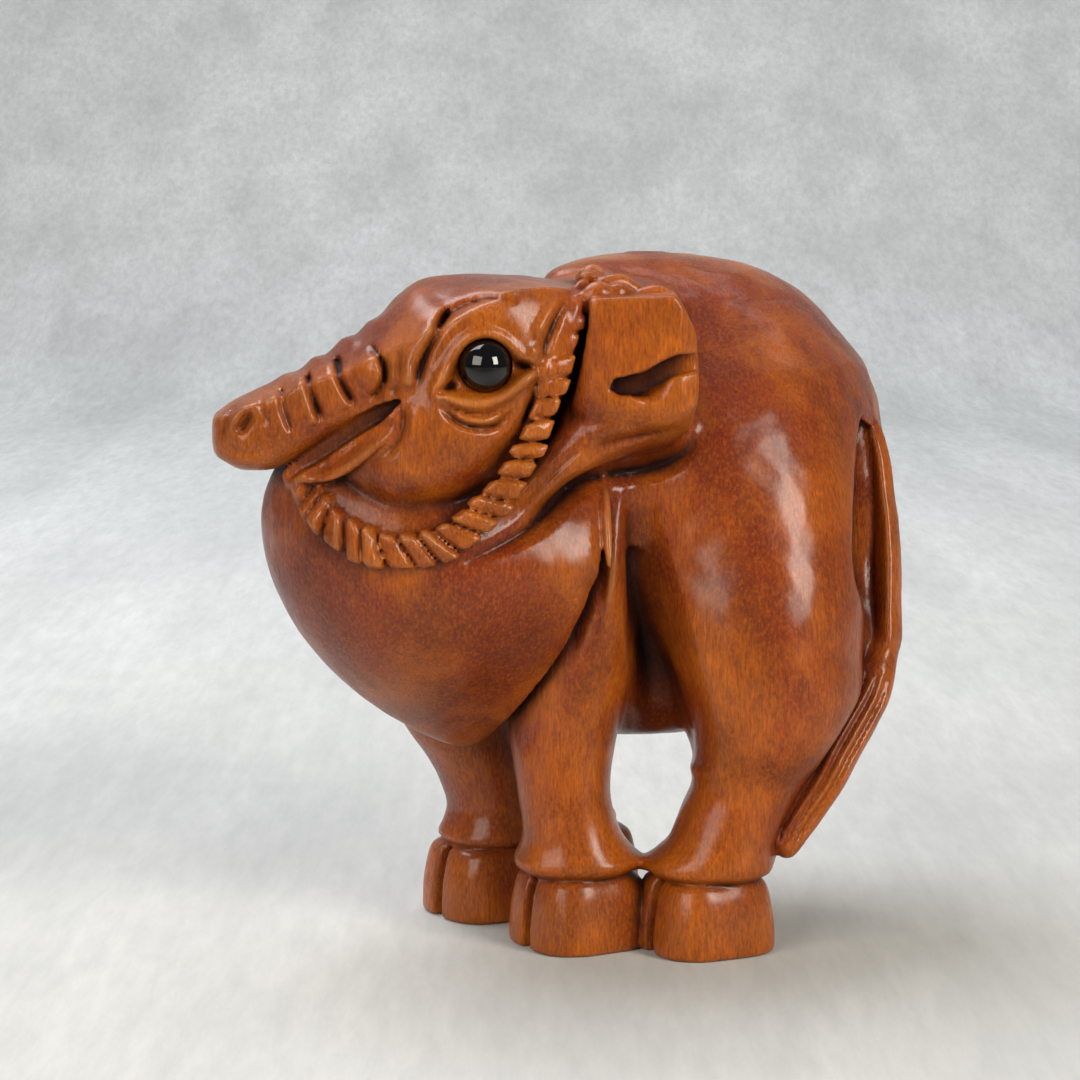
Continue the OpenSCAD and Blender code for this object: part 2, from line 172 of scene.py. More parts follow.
def groove(u, v, points, width, depth, start=0.18, end=0.18, sharp=1.0):
    """Depth map of a chiselled line: a V at sharp 1, a round gouge at 2"""
    gap, way, _ = near_curve(u, v, smooth(points, 5))
    t = np.clip(1 - gap / (width * (0.4 + 0.6 * taper(way, start, end))), 0, 1)
    if sharp > 1:
        t = 1 - (1 - t) ** sharp
    return -depth * taper(way, start, end) * t


def ridge(u, v, points, width, height, start=0.2, end=0.2):
    """Height map of a rounded ridge"""
    gap, way, _ = near_curve(u, v, smooth(points, 5))
    t = np.clip(1 - (gap / width) ** 2, 0, 1)
    return height * taper(way, start, end) * t * t


def terrace(u, v, points, width, height, fall, start, end):
    """Height map of a crisp step up on a line's left side, that fades out over the fall"""
    gap, way, side = near_curve(u, v, smooth(points, 5))
    signed = gap * side
    up = ease(-width, width, signed) * np.clip(1 - signed / fall, 0, 1) ** 1.5
    return height * taper(way, start, end) * up


def draw(h, u, v, marks):
    """Adds grooves, ridges and terraces to a height map, each given as its function, line and sizes"""
    for make, line, *sizes in marks:
        h += make(u, v, line, *sizes)
    return h


def side_view(x, z):
    """X and Z of a window as flat maps, for what is drawn from the side"""
    return x[:, 0, :] + 0 * z[:, 0, :], z[:, 0, :] + 0 * x[:, 0, :]


def heights(levels, values):
    """A fillet or a power that changes with height"""
    return lambda z: np.interp(z, levels, values).astype(np.float32)


def fold(x, y):
    """Way out from the middle plane of the head, whose muzzle swings to the near side"""
    return np.abs(y - HEAD_Y - SWING * x)


class Wood:
    """Distance field of the carving on a regular grid, in millimetres, negative inside the wood"""

    def __init__(self, axes, cell):
        self.axes, self.cell = axes, cell
        self.field = np.full([len(a) for a in axes], FAR, np.float32)

    def window(self, low, high):
        """Part of the grid that covers a box, and its X, Y and Z"""
        area = tuple(slice(*np.searchsorted(a, ends)) for a, ends in zip(self.axes, zip(low, high)))
        x, y, z = (a[part] for a, part in zip(self.axes, area))
        return area, x[:, None, None], y[None, :, None], z[None, None, :]

    def add(self, area, shape, k=0.0):
        """Adds a shape, with a fillet of about k"""
        self.field[area] = melt(self.field[area], shape, k)

    def cut(self, area, shape, k):
        """Cuts a shape away, with its edge rounded by about k"""
        self.field[area] = trim(self.field[area], -shape, k)

    def raise_by(self, area, height):
        """Moves the surface out by a height map, or in where it is negative"""
        self.field[area] -= height

    def loft(self, rows, turn, power):
        """Window and distance of a limb whose level rings are given as z, x, y, half length, half width"""
        r = smooth(rows)
        reach = r[:, 3:5].max(1)[:, None] + LIMB_ROOM
        low, high = (r[:, 1:3] - reach).min(0), (r[:, 1:3] + reach).max(0)
        area, x, y, z = self.window((*low, r[:, 0].min() - LIMB_ROOM), (*high, r[:, 0].max() + LIMB_ROOM))
        at = z[0, 0]
        cx, cy, a, b = (column(r, i, at) for i in (1, 2, 3, 4))
        c, s = math.cos(turn), math.sin(turn)
        power = power(z) if callable(power) else power
        u = np.abs((x - cx) * c + (y - cy) * s) / a
        v = np.abs((y - cy) * c - (x - cx) * s) / b
        shape = even((u ** power + v ** power) ** (1 / power), self.cell, 2)
        ends = np.maximum(z - r[:, 0].max(), r[:, 0].min() - z)
        return area, np.maximum(shape, ends), x, y, z

    def upright(self, rows, k, turn=0.0, power=2.0):
        """Adds a limb, with a fillet and a power that may change with height"""
        area, shape, _, _, z = self.loft(rows, turn, power)
        self.add(area, shape, k(z) if callable(k) else k)

    def tube(self, points, k, mirror=False):
        """Adds a round bar along a curve of x, y, z and radius; mirrored, y is the way out from the middle of
        the head, and the bar stands on both sides"""
        p = smooth(points, 8)
        wide = p[:, 3:4] + BAR_ROOM
        low, high = (p[:, :3] - wide).min(0), (p[:, :3] + wide).max(0)
        if mirror:
            low[1], high[1] = BLOCK[0][1], high[1] + abs(p[:, 1]).max() * 2
        area, x, y, z = self.window(low, high)
        y = fold(x, y) if mirror else y
        best = np.full(np.broadcast(x, y, z).shape, 9, np.float32)
        for a, b in zip(p, p[1:]):
            run = b[:3] - a[:3]
            px, py, pz = x - a[0], y - a[1], z - a[2]
            t = np.clip((px * run[0] + py * run[1] + pz * run[2]) / (run @ run + 1e-9), 0, 1)
            gap = np.sqrt((px - t * run[0]) ** 2 + (py - t * run[1]) ** 2 + (pz - t * run[2]) ** 2)
            best = np.minimum(best, gap - a[3] - t * (b[3] - a[3]))
        self.add(area, best, k)


# Masses of the body


def carve_trunk(wood):
    """Barrel of the body, and all legs but the near foreleg, from their level rings"""
    barrel = [
        (6.15, -3.19, 0.9, 0.75), (6.35, -3.2, 3.1, 2.5), (7.0, -3.29, 4.6, 3.47),
        (7.85, -3.49, 5.55, 4.09), (9.0, -3.64, 6.2, 4.53), (10.4, -3.72, 6.74, 4.84),
        (12.0, -3.8, 7.28, 5.08), (14.4, -3.9, 7.65, 5.33), (16.2, -4.3, 7.1, 5.21),
        (17.6, -4.6, 6.1, 4.71), (19.2, -4.45, 5.25, 3.84), (20.2, -4.1, 4.57, 3.0),
        (20.9, -3.57, 3.73, 2.0), (21.3, -3.29, 2.33, 1.2), (21.5, -3.19, 0.62, 0.4)]
    wood.upright([(z, BODY[0] - COS * f, BODY[1] - SIN * f, a, b) for z, f, a, b in barrel], 0.0, TURN)
    blend = heights([8, 12, 15, 18], [0.5, 1.2, 1.2, 0.3])
    # Far foreleg, far hind leg, then the near hind leg with its thigh
    wood.upright([
        (17.0, -1.6, 1.55, 0.5, 0.6), (16.6, -1.65, 1.55, 1.0, 1.3), (15.5, -1.93, 1.61, 1.65, 2.1),
        (13, -2.5, 1.8, 2.25, 2.85), (10.5, -2.83, 1.72, 2.4, 2.85), (8, -3.04, 1.58, 2.3, 2.4),
        (6.3, -3.06, 1.45, 1.95, 2.0), (4.9, -2.57, 1.35, 1.5, 1.7), (3.7, -2.2, 1.29, 1.36, 1.58),
        (3.1, -2.18, 1.26, 1.45, 1.62), (2.72, -2.2, 1.24, 1.62, 1.72), (2.5, -2.2, 1.24, 1.6, 1.7),
        (2.3, -2.2, 1.24, 1.3, 1.4)], blend, TURN, 2.3)
    wood.upright([
        (19.0, 3.2, 3.5, 0.6, 0.7), (18.6, 3.2, 3.6, 1.4, 1.5), (17.6, 3.1, 3.8, 2.2, 2.4),
        (16.3, 3.0, 4.02, 2.8, 2.95), (14, 2.61, 4.25, 3.35, 3.5), (11.4, 2.14, 4.36, 3.42, 3.5),
        (9.2, 1.6, 4.35, 3.08, 3.2), (7.8, 1.0, 4.3, 2.35, 2.7), (6.45, 0.6, 4.25, 1.55, 2.15),
        (5.3, 0.1, 4.15, 1.2, 1.8), (4.4, 0.0, 4.05, 1.18, 1.75), (3.5, 0.1, 3.94, 1.28, 1.72),
        (3.0, 0.25, 3.9, 1.45, 1.8), (2.72, 0.35, 3.9, 1.55, 1.85), (2.5, 0.4, 3.9, 1.55, 1.82),
        (2.3, 0.45, 3.9, 1.3, 1.5)], blend, 0, 2.3)
    thigh = heights([6, 9, 12, 15, 18, 20], [0.3, 0.8, 2.0, 3.0, 3.0, 1.6])
    wood.upright([
        (19.9, 4.8, 1.2, 0.3, 0.3), (19.3, 5.0, 0.9, 0.9, 1.0), (18.4, 5.3, 0.5, 1.6, 1.9),
        (17.3, 5.5, 0.0, 2.35, 2.8), (16, 5.68, -0.5, 2.98, 3.45), (14, 5.88, -1.0, 3.45, 3.95),
        (11.4, 6.0, -1.6, 3.6, 4.15), (9.2, 6.08, -2.2, 3.4, 3.8), (7.8, 6.27, -2.74, 3.1, 3.2),
        (6.45, 6.18, -3.19, 2.44, 2.57), (5.3, 5.89, -3.41, 1.76, 2.02), (4.4, 5.46, -3.54, 1.66, 1.88),
        (3.5, 5.08, -3.64, 1.65, 1.88), (3.05, 4.84, -3.67, 1.86, 1.95), (2.75, 4.68, -3.67, 2.0, 1.99),
        (2.5, 4.68, -3.67, 1.9, 1.92), (2.3, 4.7, -3.67, 1.5, 1.6)], thigh, 0, 2.3)


def carve_front(wood):
    """Neck, near foreleg with its shoulder, the shield of the chest, and the hollow behind the shoulder"""
    # Neck, shoulder strip with a crisp rear edge, and the shank under it
    wood.upright([
        (20.9, 1.2, -1.6, 0.4, 0.4), (20.6, 1.15, -1.6, 1.5, 1.6), (19.9, 1.07, -1.6, 2.4, 2.65),
        (18, 0.96, -1.45, 2.96, 3.44), (15, 0.5, -1.3, 3.7, 4.2), (12.5, 0.6, -1.1, 3.6, 4.0)],
        heights([14, 18, 20, 21], [0.4, 1.0, 1.0, 0.3]))
    wood.upright([
        (16.4, 0.45, -2.3, 1.3, 2.3), (15, 0.35, -2.6, 1.45, 2.95), (13.3, 0.3, -2.8, 1.7, 3.05),
        (11.2, 0.3, -2.85, 1.9, 2.85), (9.2, 0.28, -2.7, 1.92, 2.4), (8, 0.22, -2.6, 1.8, 2.1),
        (7, 0.1, -2.6, 1.6, 1.8), (5.8, 0.1, -2.7, 1.1, 1.3)],
        0.25, math.radians(8), heights([5.8, 8.5, 11], [2.1, 2.6, 3.6]))
    wood.upright([
        (11, 0.3, -2.5, 1.5, 1.9), (8.6, 0.25, -2.55, 1.8, 2.05), (6.7, 0.12, -2.75, 1.66, 1.8),
        (5.1, 0.13, -2.95, 1.47, 1.7), (4.2, 0.25, -3.04, 1.46, 1.68), (3.5, 0.4, -3.05, 1.56, 1.74),
        (3.05, 0.5, -3.05, 1.78, 1.86), (2.75, 0.56, -3.05, 1.98, 1.96), (2.5, 0.54, -3.05, 1.86, 1.88),
        (2.3, 0.52, -3.05, 1.5, 1.6)], 0.5, 0.0, 2.4)
    # Chest shield: rings along the body, cut off by the leaning plane of its rim
    rings = smooth([
        (-1.0, 12.2, 5.8, 4.4, 6.1), (2.0, 12.2, 5.78, 4.35, 6.15), (4.03, 12.36, 5.4, 4.1, 5.6),
        (6.09, 12.73, 4.8, 3.68, 4.75), (7.69, 13.1, 4.02, 3.15, 3.75), (8.89, 13.55, 3.05, 2.5, 2.8),
        (9.67, 13.93, 2.1, 1.85, 2.0), (10.08, 14.19, 1.34, 1.2, 1.25), (10.25, 14.3, 0.5, 0.45, 0.48)])
    area, x, y, z = wood.window((-10.8, -8.2, 4.4), (4.5, 6.5, 17.8))
    lean = math.tan(math.radians(12))
    u = -COS * (x - BODY[0]) - SIN * (y - BODY[1]) + lean * (z - 12.2)
    v = COS * (y - BODY[1]) - SIN * (x - BODY[0]) + 0 * z
    mid, a, up, down = (column(rings, i, u) for i in (1, 2, 3, 4))
    tall = (z - mid) / np.where(z > mid, up, down)
    power = np.where(z > mid, 2.0, 1.32 + 0.68 * ease(2.5, 8.5, u)).astype(np.float32)
    r = (np.abs(v / a) ** power + np.abs(tall) ** power) ** (1 / power)
    shape = np.maximum(even(r, wood.cell), u - 10.25)
    behind = (1.8 + 0.02 * (12 - z) - u) / math.hypot(1, lean)
    # A groove along the back of the rim, that runs out on the shoulder
    depth = (0.3 + 0.4 * ease(7, 11, z)) * ease(15.2, 13.8, z) * ease(5.6, 6.6, z)
    near = ease(0.4, -0.4, v) * ease(1.8, 0.9, np.abs(shape))
    wood.raise_by(area, -depth * near * np.clip(1 - np.abs(behind - 0.15) / 0.5, 0, 1))
    wood.add(area, trim(shape, behind, 0.05))
    # Folds down the shoulder
    area, x, y, z = wood.window((-1.5, -7.4, 7.0), (2.6, -3.6, 15.6))
    u, v = side_view(x, z)
    h = draw(0, u, v, [
        (ridge, [(1.36, 15.1), (1.42, 13.9), (1.5, 12.95), (1.56, 11.98), (1.5, 11.1),
                 (1.38, 10.2)], 0.24, 0.14, 0.1, 0.4),
        (groove, [(1.2, 14.6), (1.22, 12.6), (1.28, 11.2), (1.2, 10.5), (1.05, 9.6),
                  (0.85, 8.5)], 0.22, 0.13, 0.2, 0.3),
        (groove, [(1.05, 12.3), (0.86, 11.1), (0.55, 10.2), (0.42, 9.2)], 0.26, 0.14, 0.2, 0.3),
    ])
    wood.raise_by(area, h[:, None, :] * ease(-4.2, -4.9, y))
    # The hollow between the shoulder and the haunch
    area, x, y, z = wood.window((0.5, -7.0, 4.8), (5.2, -1.6, 15.6))
    u, v = side_view(x, z)
    line = smooth([(2.05, 15.2), (2.2, 13.2), (2.42, 11.2), (2.7, 9.4), (2.95, 8.0), (3.1, 6.6),
                   (3.2, 5.6)], 5)
    gap, way, side = near_curve(u, v, line)
    width = np.where(side > 0, 0.8 + 1.3 * way, 0.45 + 0.4 * way)
    depth = (0.2 + 0.8 * ease(0.1, 0.8, way)) * np.clip(1 - (gap / width) ** 2, 0, 1) ** 1.5
    wood.raise_by(area, -(depth * taper(way, 0.15, 0.14))[:, None, :] * ease(-1.7, -3.2, y))


def carve_hooves(wood):
    """Four cloven hooves: near fore, near hind with its dewclaws, far fore and far hind"""
    # Height, half length and half width; the lowest ring is under the soles, which are cut flat later
    rings = [(-0.6, 1.8, 1.8), (0, 1.93, 1.93), (0.25, 1.97, 1.97), (1.0, 1.93, 1.94), (1.7, 1.82, 1.86),
             (2.1, 1.7, 1.76), (2.28, 1.55, 1.62), (2.4, 1.2, 1.3)]
    for x0, y0, facing, dewclaws in (
            (0.62, -3.04, 30, ()), (4.52, -3.7, 26, (-0.8, 0.75)), (-2.25, 1.24, 30, ()),
            (0.5, 3.9, 30, ())):
        turn = math.radians(facing)
        area, shape, x, y, z = wood.loft([(at, x0, y0, a, b) for at, a, b in rings], turn, 3.2)
        u = -math.cos(turn) * (x - x0) - math.sin(turn) * (y - y0) + 0 * z
        v = math.cos(turn) * (y - y0) - math.sin(turn) * (x - x0) + 0 * z
        # Facets between the front of each claw and its side, then the cleft between the claws
        shape = trim(shape, np.abs(v) * 0.62 + u * 0.78 + 0.06 * z - 2.35, 0.15)
        front = np.maximum(np.abs(v) - 0.17 - 0.1 * np.clip(u - 1.2, 0, 1), np.maximum(0.75 - u, z - 2.25))
        back = np.maximum(np.abs(v) - 0.12, np.maximum(u + 1.55, z - 2.0))
        shape = trim(shape, -np.minimum(front, back), 0.12)
        for across in dewclaws:
            gap = np.sqrt((u + 1.66) ** 2 + (v - across) ** 2 * 1.3 + (z - 2.85) ** 2 * 0.6)
            shape = melt(shape, gap - 0.38, 0.12)
        wood.add(area, shape, 0.04)


def carve_tail(wood):
    """Gouge between the haunch and the tail, the tail's stem with two facets, and the tuft in strands"""
    area, x, y, z = wood.window((7.0, -6.0, 8.0), (11.4, 2.8, 17.4))
    u, v = side_view(x, z)
    gouge = inside(u, v, smooth([
        (9.5, 16.3), (9.25, 15.3), (9.1, 13.8), (9.03, 12.3), (9.13, 11.45), (9.38, 10.8), (9.5, 10.2),
        (9.6, 9.4), (9.9, 9.1), (10.3, 9.6), (10.3, 11.2), (10.3, 12.3), (10.3, 14.5), (10.0, 15.9)], 4))
    wood.cut(area, np.maximum(gouge[:, None, :], y + 0.5 - 0.22 * (z - 12)), 0.12)
    wood.tube([(8.9, 0.9, 17.0, 0.5), (9.35, 0.75, 15.9, 0.6), (9.6, 0.5, 14.5, 0.62),
               (9.7, 0.2, 12.9, 0.62), (9.7, 0.0, 11.5, 0.6), (9.6, -0.5, 10.2, 0.62),
               (9.4, -1.1, 9.0, 0.7), (8.9, -1.7, 7.6, 0.8)], 0.25)
    wood.upright([
        (16.7, 9.75, 0.7, 0.1, 0.1), (15.9, 10.0, 0.4, 0.3, 0.36), (15.0, 10.2, 0.2, 0.36, 0.5),
        (14.0, 10.3, 0.0, 0.39, 0.6), (12.9, 10.41, -0.25, 0.42, 0.7), (11.6, 10.44, -0.55, 0.46, 0.75),
        (10.3, 10.4, -0.9, 0.48, 0.75), (9.4, 10.38, -1.2, 0.5, 0.7),
        (8.6, 10.2, -1.45, 0.45, 0.5)], 0.05, 0.0, 1.35)
    tuft = [(10.3, -1.3, 9.4, 0.3), (10.1, -1.6, 8.6, 0.54), (9.8, -1.95, 7.8, 0.66), (9.3, -2.4, 7.0, 0.7),
            (8.73, -2.85, 6.1, 0.7), (8.26, -3.2, 5.25, 0.68), (7.62, -3.5, 4.3, 0.62),
            (7.18, -3.7, 3.6, 0.54), (7.08, -3.78, 3.25, 0.4)]
    wood.tube(tuft, 0.12)
    area, x, y, z = wood.window((6.3, -5.6, 2.0), (11.4, 1.6, 16.8))
    u, v = side_view(x, z)
    strands = []
    for way, deep in ((-0.46, 0.22), (-0.05, 0.3), (0.36, 0.24)):
        line = [(px + way * r, pz - 0.55 * way * r) for px, _, pz, r in tuft[1:]]
        strands.append((groove, line, 0.17, deep, 0.2, 0.08))
    wood.raise_by(area, draw(0, u, v, strands)[:, None, :])


# Head, ears and halter


def carve_head(wood):
    """Skull, cheek, lips and relief of the face, the same on both sides of the head's middle plane"""
    # The head is carved by itself and melted into the body at the end
    place, *_ = wood.window((-11, -9, 11.8), (2.2, 0.9, 21.9))
    head = Wood([a[part] for a, part in zip(wood.axes, place)], wood.cell)
    area, x, y, z = head.window(*WHOLE)
    w = fold(x, y)
    xs = x[:, 0, 0]

    # Upper jaw and skull, rings along X: x, top, bottom, half width
    skull = smooth([
        (-10.48, 16.6, 15.9, 0.5), (-10.36, 17.0, 15.6, 1.05), (-10.05, 17.7, 15.4, 1.45),
        (-9.5, 18.4, 15.15, 1.72), (-8.6, 19.0, 15.2, 1.88), (-7.6, 19.5, 15.65, 2.02),
        (-6.6, 20.1, 16.2, 2.26), (-5.6, 21.1, 16.3, 2.7), (-4.6, 21.9, 15.6, 3.2),
        (-3.6, 22.3, 15.0, 3.56), (-2.6, 22.4, 14.9, 3.72), (-1.6, 22.2, 15.2, 3.65),
        (-0.6, 21.7, 15.9, 3.4), (0.3, 21.2, 17.0, 2.9), (0.9, 20.6, 18.2, 2.1), (1.15, 20.2, 19.0, 1.0)])
    top, bottom, wide = (column(skull, i, xs)[:, None, None] for i in (1, 2, 3))
    p = (2.5 + 1.3 * ease(-4.6, -7.0, xs))[:, None, None].astype(np.float32)
    r = ((w / wide) ** p + np.abs((z - (top + bottom) / 2) / ((top - bottom) / 2)) ** p) ** (1 / p)
    shape = np.maximum(even(r, head.cell, 0), np.maximum(x - 1.15, -10.48 - x))
    # The flat top: height in the middle, height and half width at the brow edge
    crown = smooth([
        (-10.6, 16.7, 16.5, 1.2), (-10.26, 16.95, 16.75, 1.3), (-9.7, 17.32, 17.05, 1.45),
        (-8.36, 17.92, 17.6, 1.5), (-7.6, 18.28, 18.0, 1.5), (-6.5, 18.95, 18.52, 1.6),
        (-5.6, 19.6, 19.05, 1.85), (-4.9, 20.38, 19.55, 2.1), (-4.2, 20.85, 19.95, 2.3),
        (-3.2, 21.0, 20.37, 2.4), (-2.1, 21.0, 20.7, 2.4), (-1.0, 20.93, 20.77, 2.35),
        (0.0, 20.75, 20.7, 2.2), (1.2, 20.5, 20.4, 2.0)])
    peak, edge, out = (column(crown, i, xs)[:, None, None] for i in (1, 2, 3))
    plane = z - peak + (peak - edge) * (w / out) ** 1.6
    # Small steps across the bridge of the nose
    for at, tall, run in ((-7.52, 0.16, 0.5), (-6.62, 0.2, 0.55), (-5.84, 0.16, 0.5), (-8.4, 0.08, 0.5)):
        notch = np.clip(1 - np.abs(x - at - 0.35 * w) / run, 0, 1) ** 1.5
        plane = plane - tall * notch * ease(2.1, 0.7, w)
    shape = trim(shape, plane * 0.93, 0.02)
    head.add(area, shape)

    # Cheek: x, middle, reach up, reach down, half width
    cheek = smooth([
        (-6.95, 15.1, 0.1, 0.1, 0.9), (-6.75, 15.15, 0.9, 0.6, 1.5), (-6.4, 15.3, 1.6, 1.1, 2.05),
        (-5.8, 15.7, 2.2, 2.08, 2.65), (-5.2, 16.1, 2.5, 2.8, 3.1), (-4.7, 16.4, 2.8, 3.16, 3.38),
        (-3.9, 16.8, 3.0, 3.37, 3.65), (-3.0, 17.1, 3.0, 3.26, 3.78), (-2.1, 17.4, 2.8, 2.87, 3.72),
        (-1.35, 17.7, 2.4, 2.28, 3.5), (-0.9, 17.9, 2.0, 1.73, 3.25), (-0.5, 18.1, 1.6, 1.06, 2.9),
        (-0.2, 18.2, 0.9, 0.35, 2.3)])
    mid, up, down, wide = (column(cheek, i, xs)[:, None, None] for i in (1, 2, 3, 4))
    tall = (z - mid) / np.where(z > mid, up, down)
    r = ((w / wide) ** 2.4 + np.abs(tall) ** 2.4) ** (1 / 2.4)
    shape = np.maximum(even(r, head.cell, 0), np.maximum(x + 0.2, -6.95 - x))
    head.add(area, shape, 0.25)
    carve_face(head, area, x, z, w)

    # Chin, and the lower lip: a leaf with a chiselled hollow along its middle
    chin = [(-8.0, 0.9, 15.0, 0.35), (-6.9, 1.2, 15.4, 0.7), (-5.9, 1.5, 15.9, 0.9), (-5.2, 1.9, 16.4, 0.7)]
    head.tube(chin, 0.05, mirror=True)
    u, v = side_view(x, z)
    leaf = inside(u, v, smooth([
        (-8.1, 14.98), (-7.04, 15.78), (-6.29, 16.3), (-5.63, 16.78), (-5.03, 17.08), (-4.92, 16.86),
        (-5.1, 16.25), (-5.68, 15.7), (-6.24, 15.25), (-6.93, 14.95), (-7.8, 14.85)], 4))
    face = 1.85 + 0.54 * (u + 8) - 0.12 * ease(-0.35, 0.0, leaf)
    face += groove(u, v, [(-7.6, 15.1), (-7.19, 15.3), (-6.43, 15.78), (-5.68, 16.38),
                          (-5.05, 16.95)], 0.36, 0.56, 0.2, 0.02)
    head.add(area, trim(leaf[:, None, :], w - face[:, None, :], 0.08), 0.02)
    # The slot of the mouth: x, where its floor is on the way out from the middle, z, half height
    slot = smooth([(-9.2, 0.9, 14.98, 0.08), (-8.6, 1.0, 14.95, 0.22), (-7.7, 1.3, 15.47, 0.26),
                   (-6.95, 1.6, 15.95, 0.26), (-6.15, 1.95, 16.5, 0.25), (-5.4, 2.3, 16.98, 0.24),
                   (-4.75, 2.75, 17.42, 0.07)], 5)
    best = np.full(np.broadcast(x, w, z).shape, 9, np.float32)
    for a, b in zip(slot, slot[1:]):
        run = b[:3] - a[:3]
        t = np.clip(((x - a[0]) * run[0] + (z - a[2]) * run[2]) / (run[0] ** 2 + run[2] ** 2), 0, 1)
        flat = np.hypot(x - a[0] - t * run[0], z - a[2] - t * run[2]) - a[3] - t * (b[3] - a[3])
        best = np.minimum(best, np.maximum(flat, a[1] + t * run[1] - w))
    head.cut(area, best, 0.03)
    wood.add(place, head.field, 0.12)


def carve_face(head, area, x, z, w):
    """Relief on the sides of the head, drawn in its X and Z"""
    u, v = side_view(x, z)
    h = np.zeros(u.shape, np.float32)
    # Pads and creases on the side of the muzzle
    draw(h, u, v, [
        (groove, [(-7.55, 18.1), (-7.36, 17.5), (-7.05, 16.7)], 0.19, 0.24, 0.05, 0.2),
        (groove, [(-6.66, 18.6), (-6.5, 17.95), (-6.08, 17.2)], 0.19, 0.27, 0.05, 0.2),
        (groove, [(-8.3, 17.65), (-8.22, 17.1), (-7.95, 16.35)], 0.17, 0.15, 0.05, 0.2),
        (groove, [(-5.35, 18.75), (-5.1, 18.35), (-5.12, 17.85)], 0.2, 0.26, 0.2, 0.2),
        (groove, [(-8.95, 17.3), (-8.8, 16.95), (-8.75, 16.6)], 0.13, 0.13, 0.2, 0.2),
        (terrace, [(-7.2, 16.65), (-7.45, 17.4), (-7.62, 18.1)], 0.05, 0.14, 0.7, 0.05, 0.05),
        (terrace, [(-6.2, 17.2), (-6.6, 17.9), (-6.75, 18.5)], 0.05, 0.14, 0.8, 0.05, 0.05),
        (terrace, [(-8.05, 16.3), (-8.3, 17.0), (-8.4, 17.6)], 0.05, 0.1, 0.7, 0.05, 0.05),
    ])
    # Raised pad at the root of the muzzle, with a line cut behind it
    oval = np.sqrt(((u + 5.68) / 0.42) ** 2 + ((v - 18.2) / 0.62) ** 2)
    rim = np.clip(1 - ((oval - 1.15) / 0.2) ** 2, 0, 1) * ease(-5.75, -5.45, u)
    h += 0.12 * np.clip(1 - oval ** 2, 0, 1) - 0.2 * rim
    # Nostril, with its rim
    draw(h, u, v, [
        (groove, [(-9.55, 16.4), (-9.34, 16.72), (-9.15, 17.0)], 0.2, 0.3, 0.1, 0.3),
        (ridge, [(-9.9, 16.3), (-9.65, 16.95), (-9.2, 17.25), (-8.95, 16.9)], 0.22, 0.07),
        (groove, [(-10.1, 16.2), (-9.9, 16.8), (-9.5, 17.2)], 0.13, 0.14, 0.2, 0.2),
        (groove, [(-9.9, 15.95), (-9.4, 15.75), (-8.9, 15.85)], 0.15, 0.12),
    ])
    # Crease before the eye: the eye's side stands higher
    crease = [(-3.3, 20.15), (-3.8, 19.2), (-4.15, 18.45), (-4.27, 17.75)]
    draw(h, u, v, [
        (terrace, crease[::-1], 0.1, 0.34, 1.8, 0.1, 0.25),
        (groove, crease, 0.22, 0.3, 0.1, 0.3),
        (groove, [(-3.75, 19.55), (-3.1, 20.05), (-2.3, 20.35), (-1.2, 20.42)], 0.22, 0.22, 0.1, 0.3),
        (groove, [(-4.7, 18.9), (-4.75, 18.2), (-4.9, 17.5)], 0.16, 0.12),
        (ridge, [(-4.5, 18.8), (-4.5, 18.1), (-4.65, 17.4)], 0.22, 0.08),
    ])
    # Almond hollow of the eye, its lids, the bag under it and the corners
    almond = inside(u, v, smooth([
        (-3.5, 17.72), (-3.15, 18.55), (-2.75, 19.08), (-2.24, 19.3), (-1.68, 19.12), (-1.2, 18.68),
        (-0.82, 18.42), (-1.3, 17.98), (-1.75, 17.66), (-2.35, 17.52), (-3.0, 17.56)], 4))
    h -= 0.32 * ease(0.06, -0.22, almond)
    brow = ease(18.2, 18.7, v)
    h += (0.05 + 0.1 * (1 - brow)) * np.clip(1 - ((almond - 0.14) / (0.15 + 0.06 * (1 - brow))) ** 2, 0, 1)
    h -= 0.06 * np.clip(1 - ((almond - 0.42) / 0.13) ** 2, 0, 1) * ease(18.3, 18.9, v) * ease(-1.1, -1.6, u)
    draw(h, u, v, [
        (groove, [(-3.55, 17.6), (-3.15, 17.26), (-2.6, 17.06), (-1.98, 17.08),
                  (-1.45, 17.45)], 0.14, 0.2, 0.2, 0.3),
        (groove, [(-3.6, 17.35), (-3.0, 16.84), (-2.45, 16.66), (-1.9, 16.72),
                  (-1.3, 17.2)], 0.17, 0.26, 0.2, 0.3),
        (ridge, [(-3.1, 17.05), (-2.45, 16.86), (-1.8, 16.9)], 0.2, 0.08),
        (groove, [(-1.35, 18.5), (-0.95, 18.42), (-0.62, 18.4)], 0.22, 0.26, 0.05, 0.5),
        (groove, [(-3.05, 17.95), (-3.45, 17.78), (-3.8, 17.5)], 0.2, 0.14, 0.05, 0.6),
        (ridge, [(-0.95, 18.95), (-0.62, 18.8), (-0.5, 18.35), (-0.75, 17.95)], 0.2, 0.14),
        (groove, [(0.12, 20.3), (-0.18, 19.7), (-0.42, 19.1), (-0.62, 18.3), (-0.8, 17.5),
                  (-1.2, 16.5)], 0.18, 0.24),
        (ridge, [(-0.05, 20.4), (-0.45, 19.8), (-0.7, 19.3)], 0.24, 0.14),
    ])
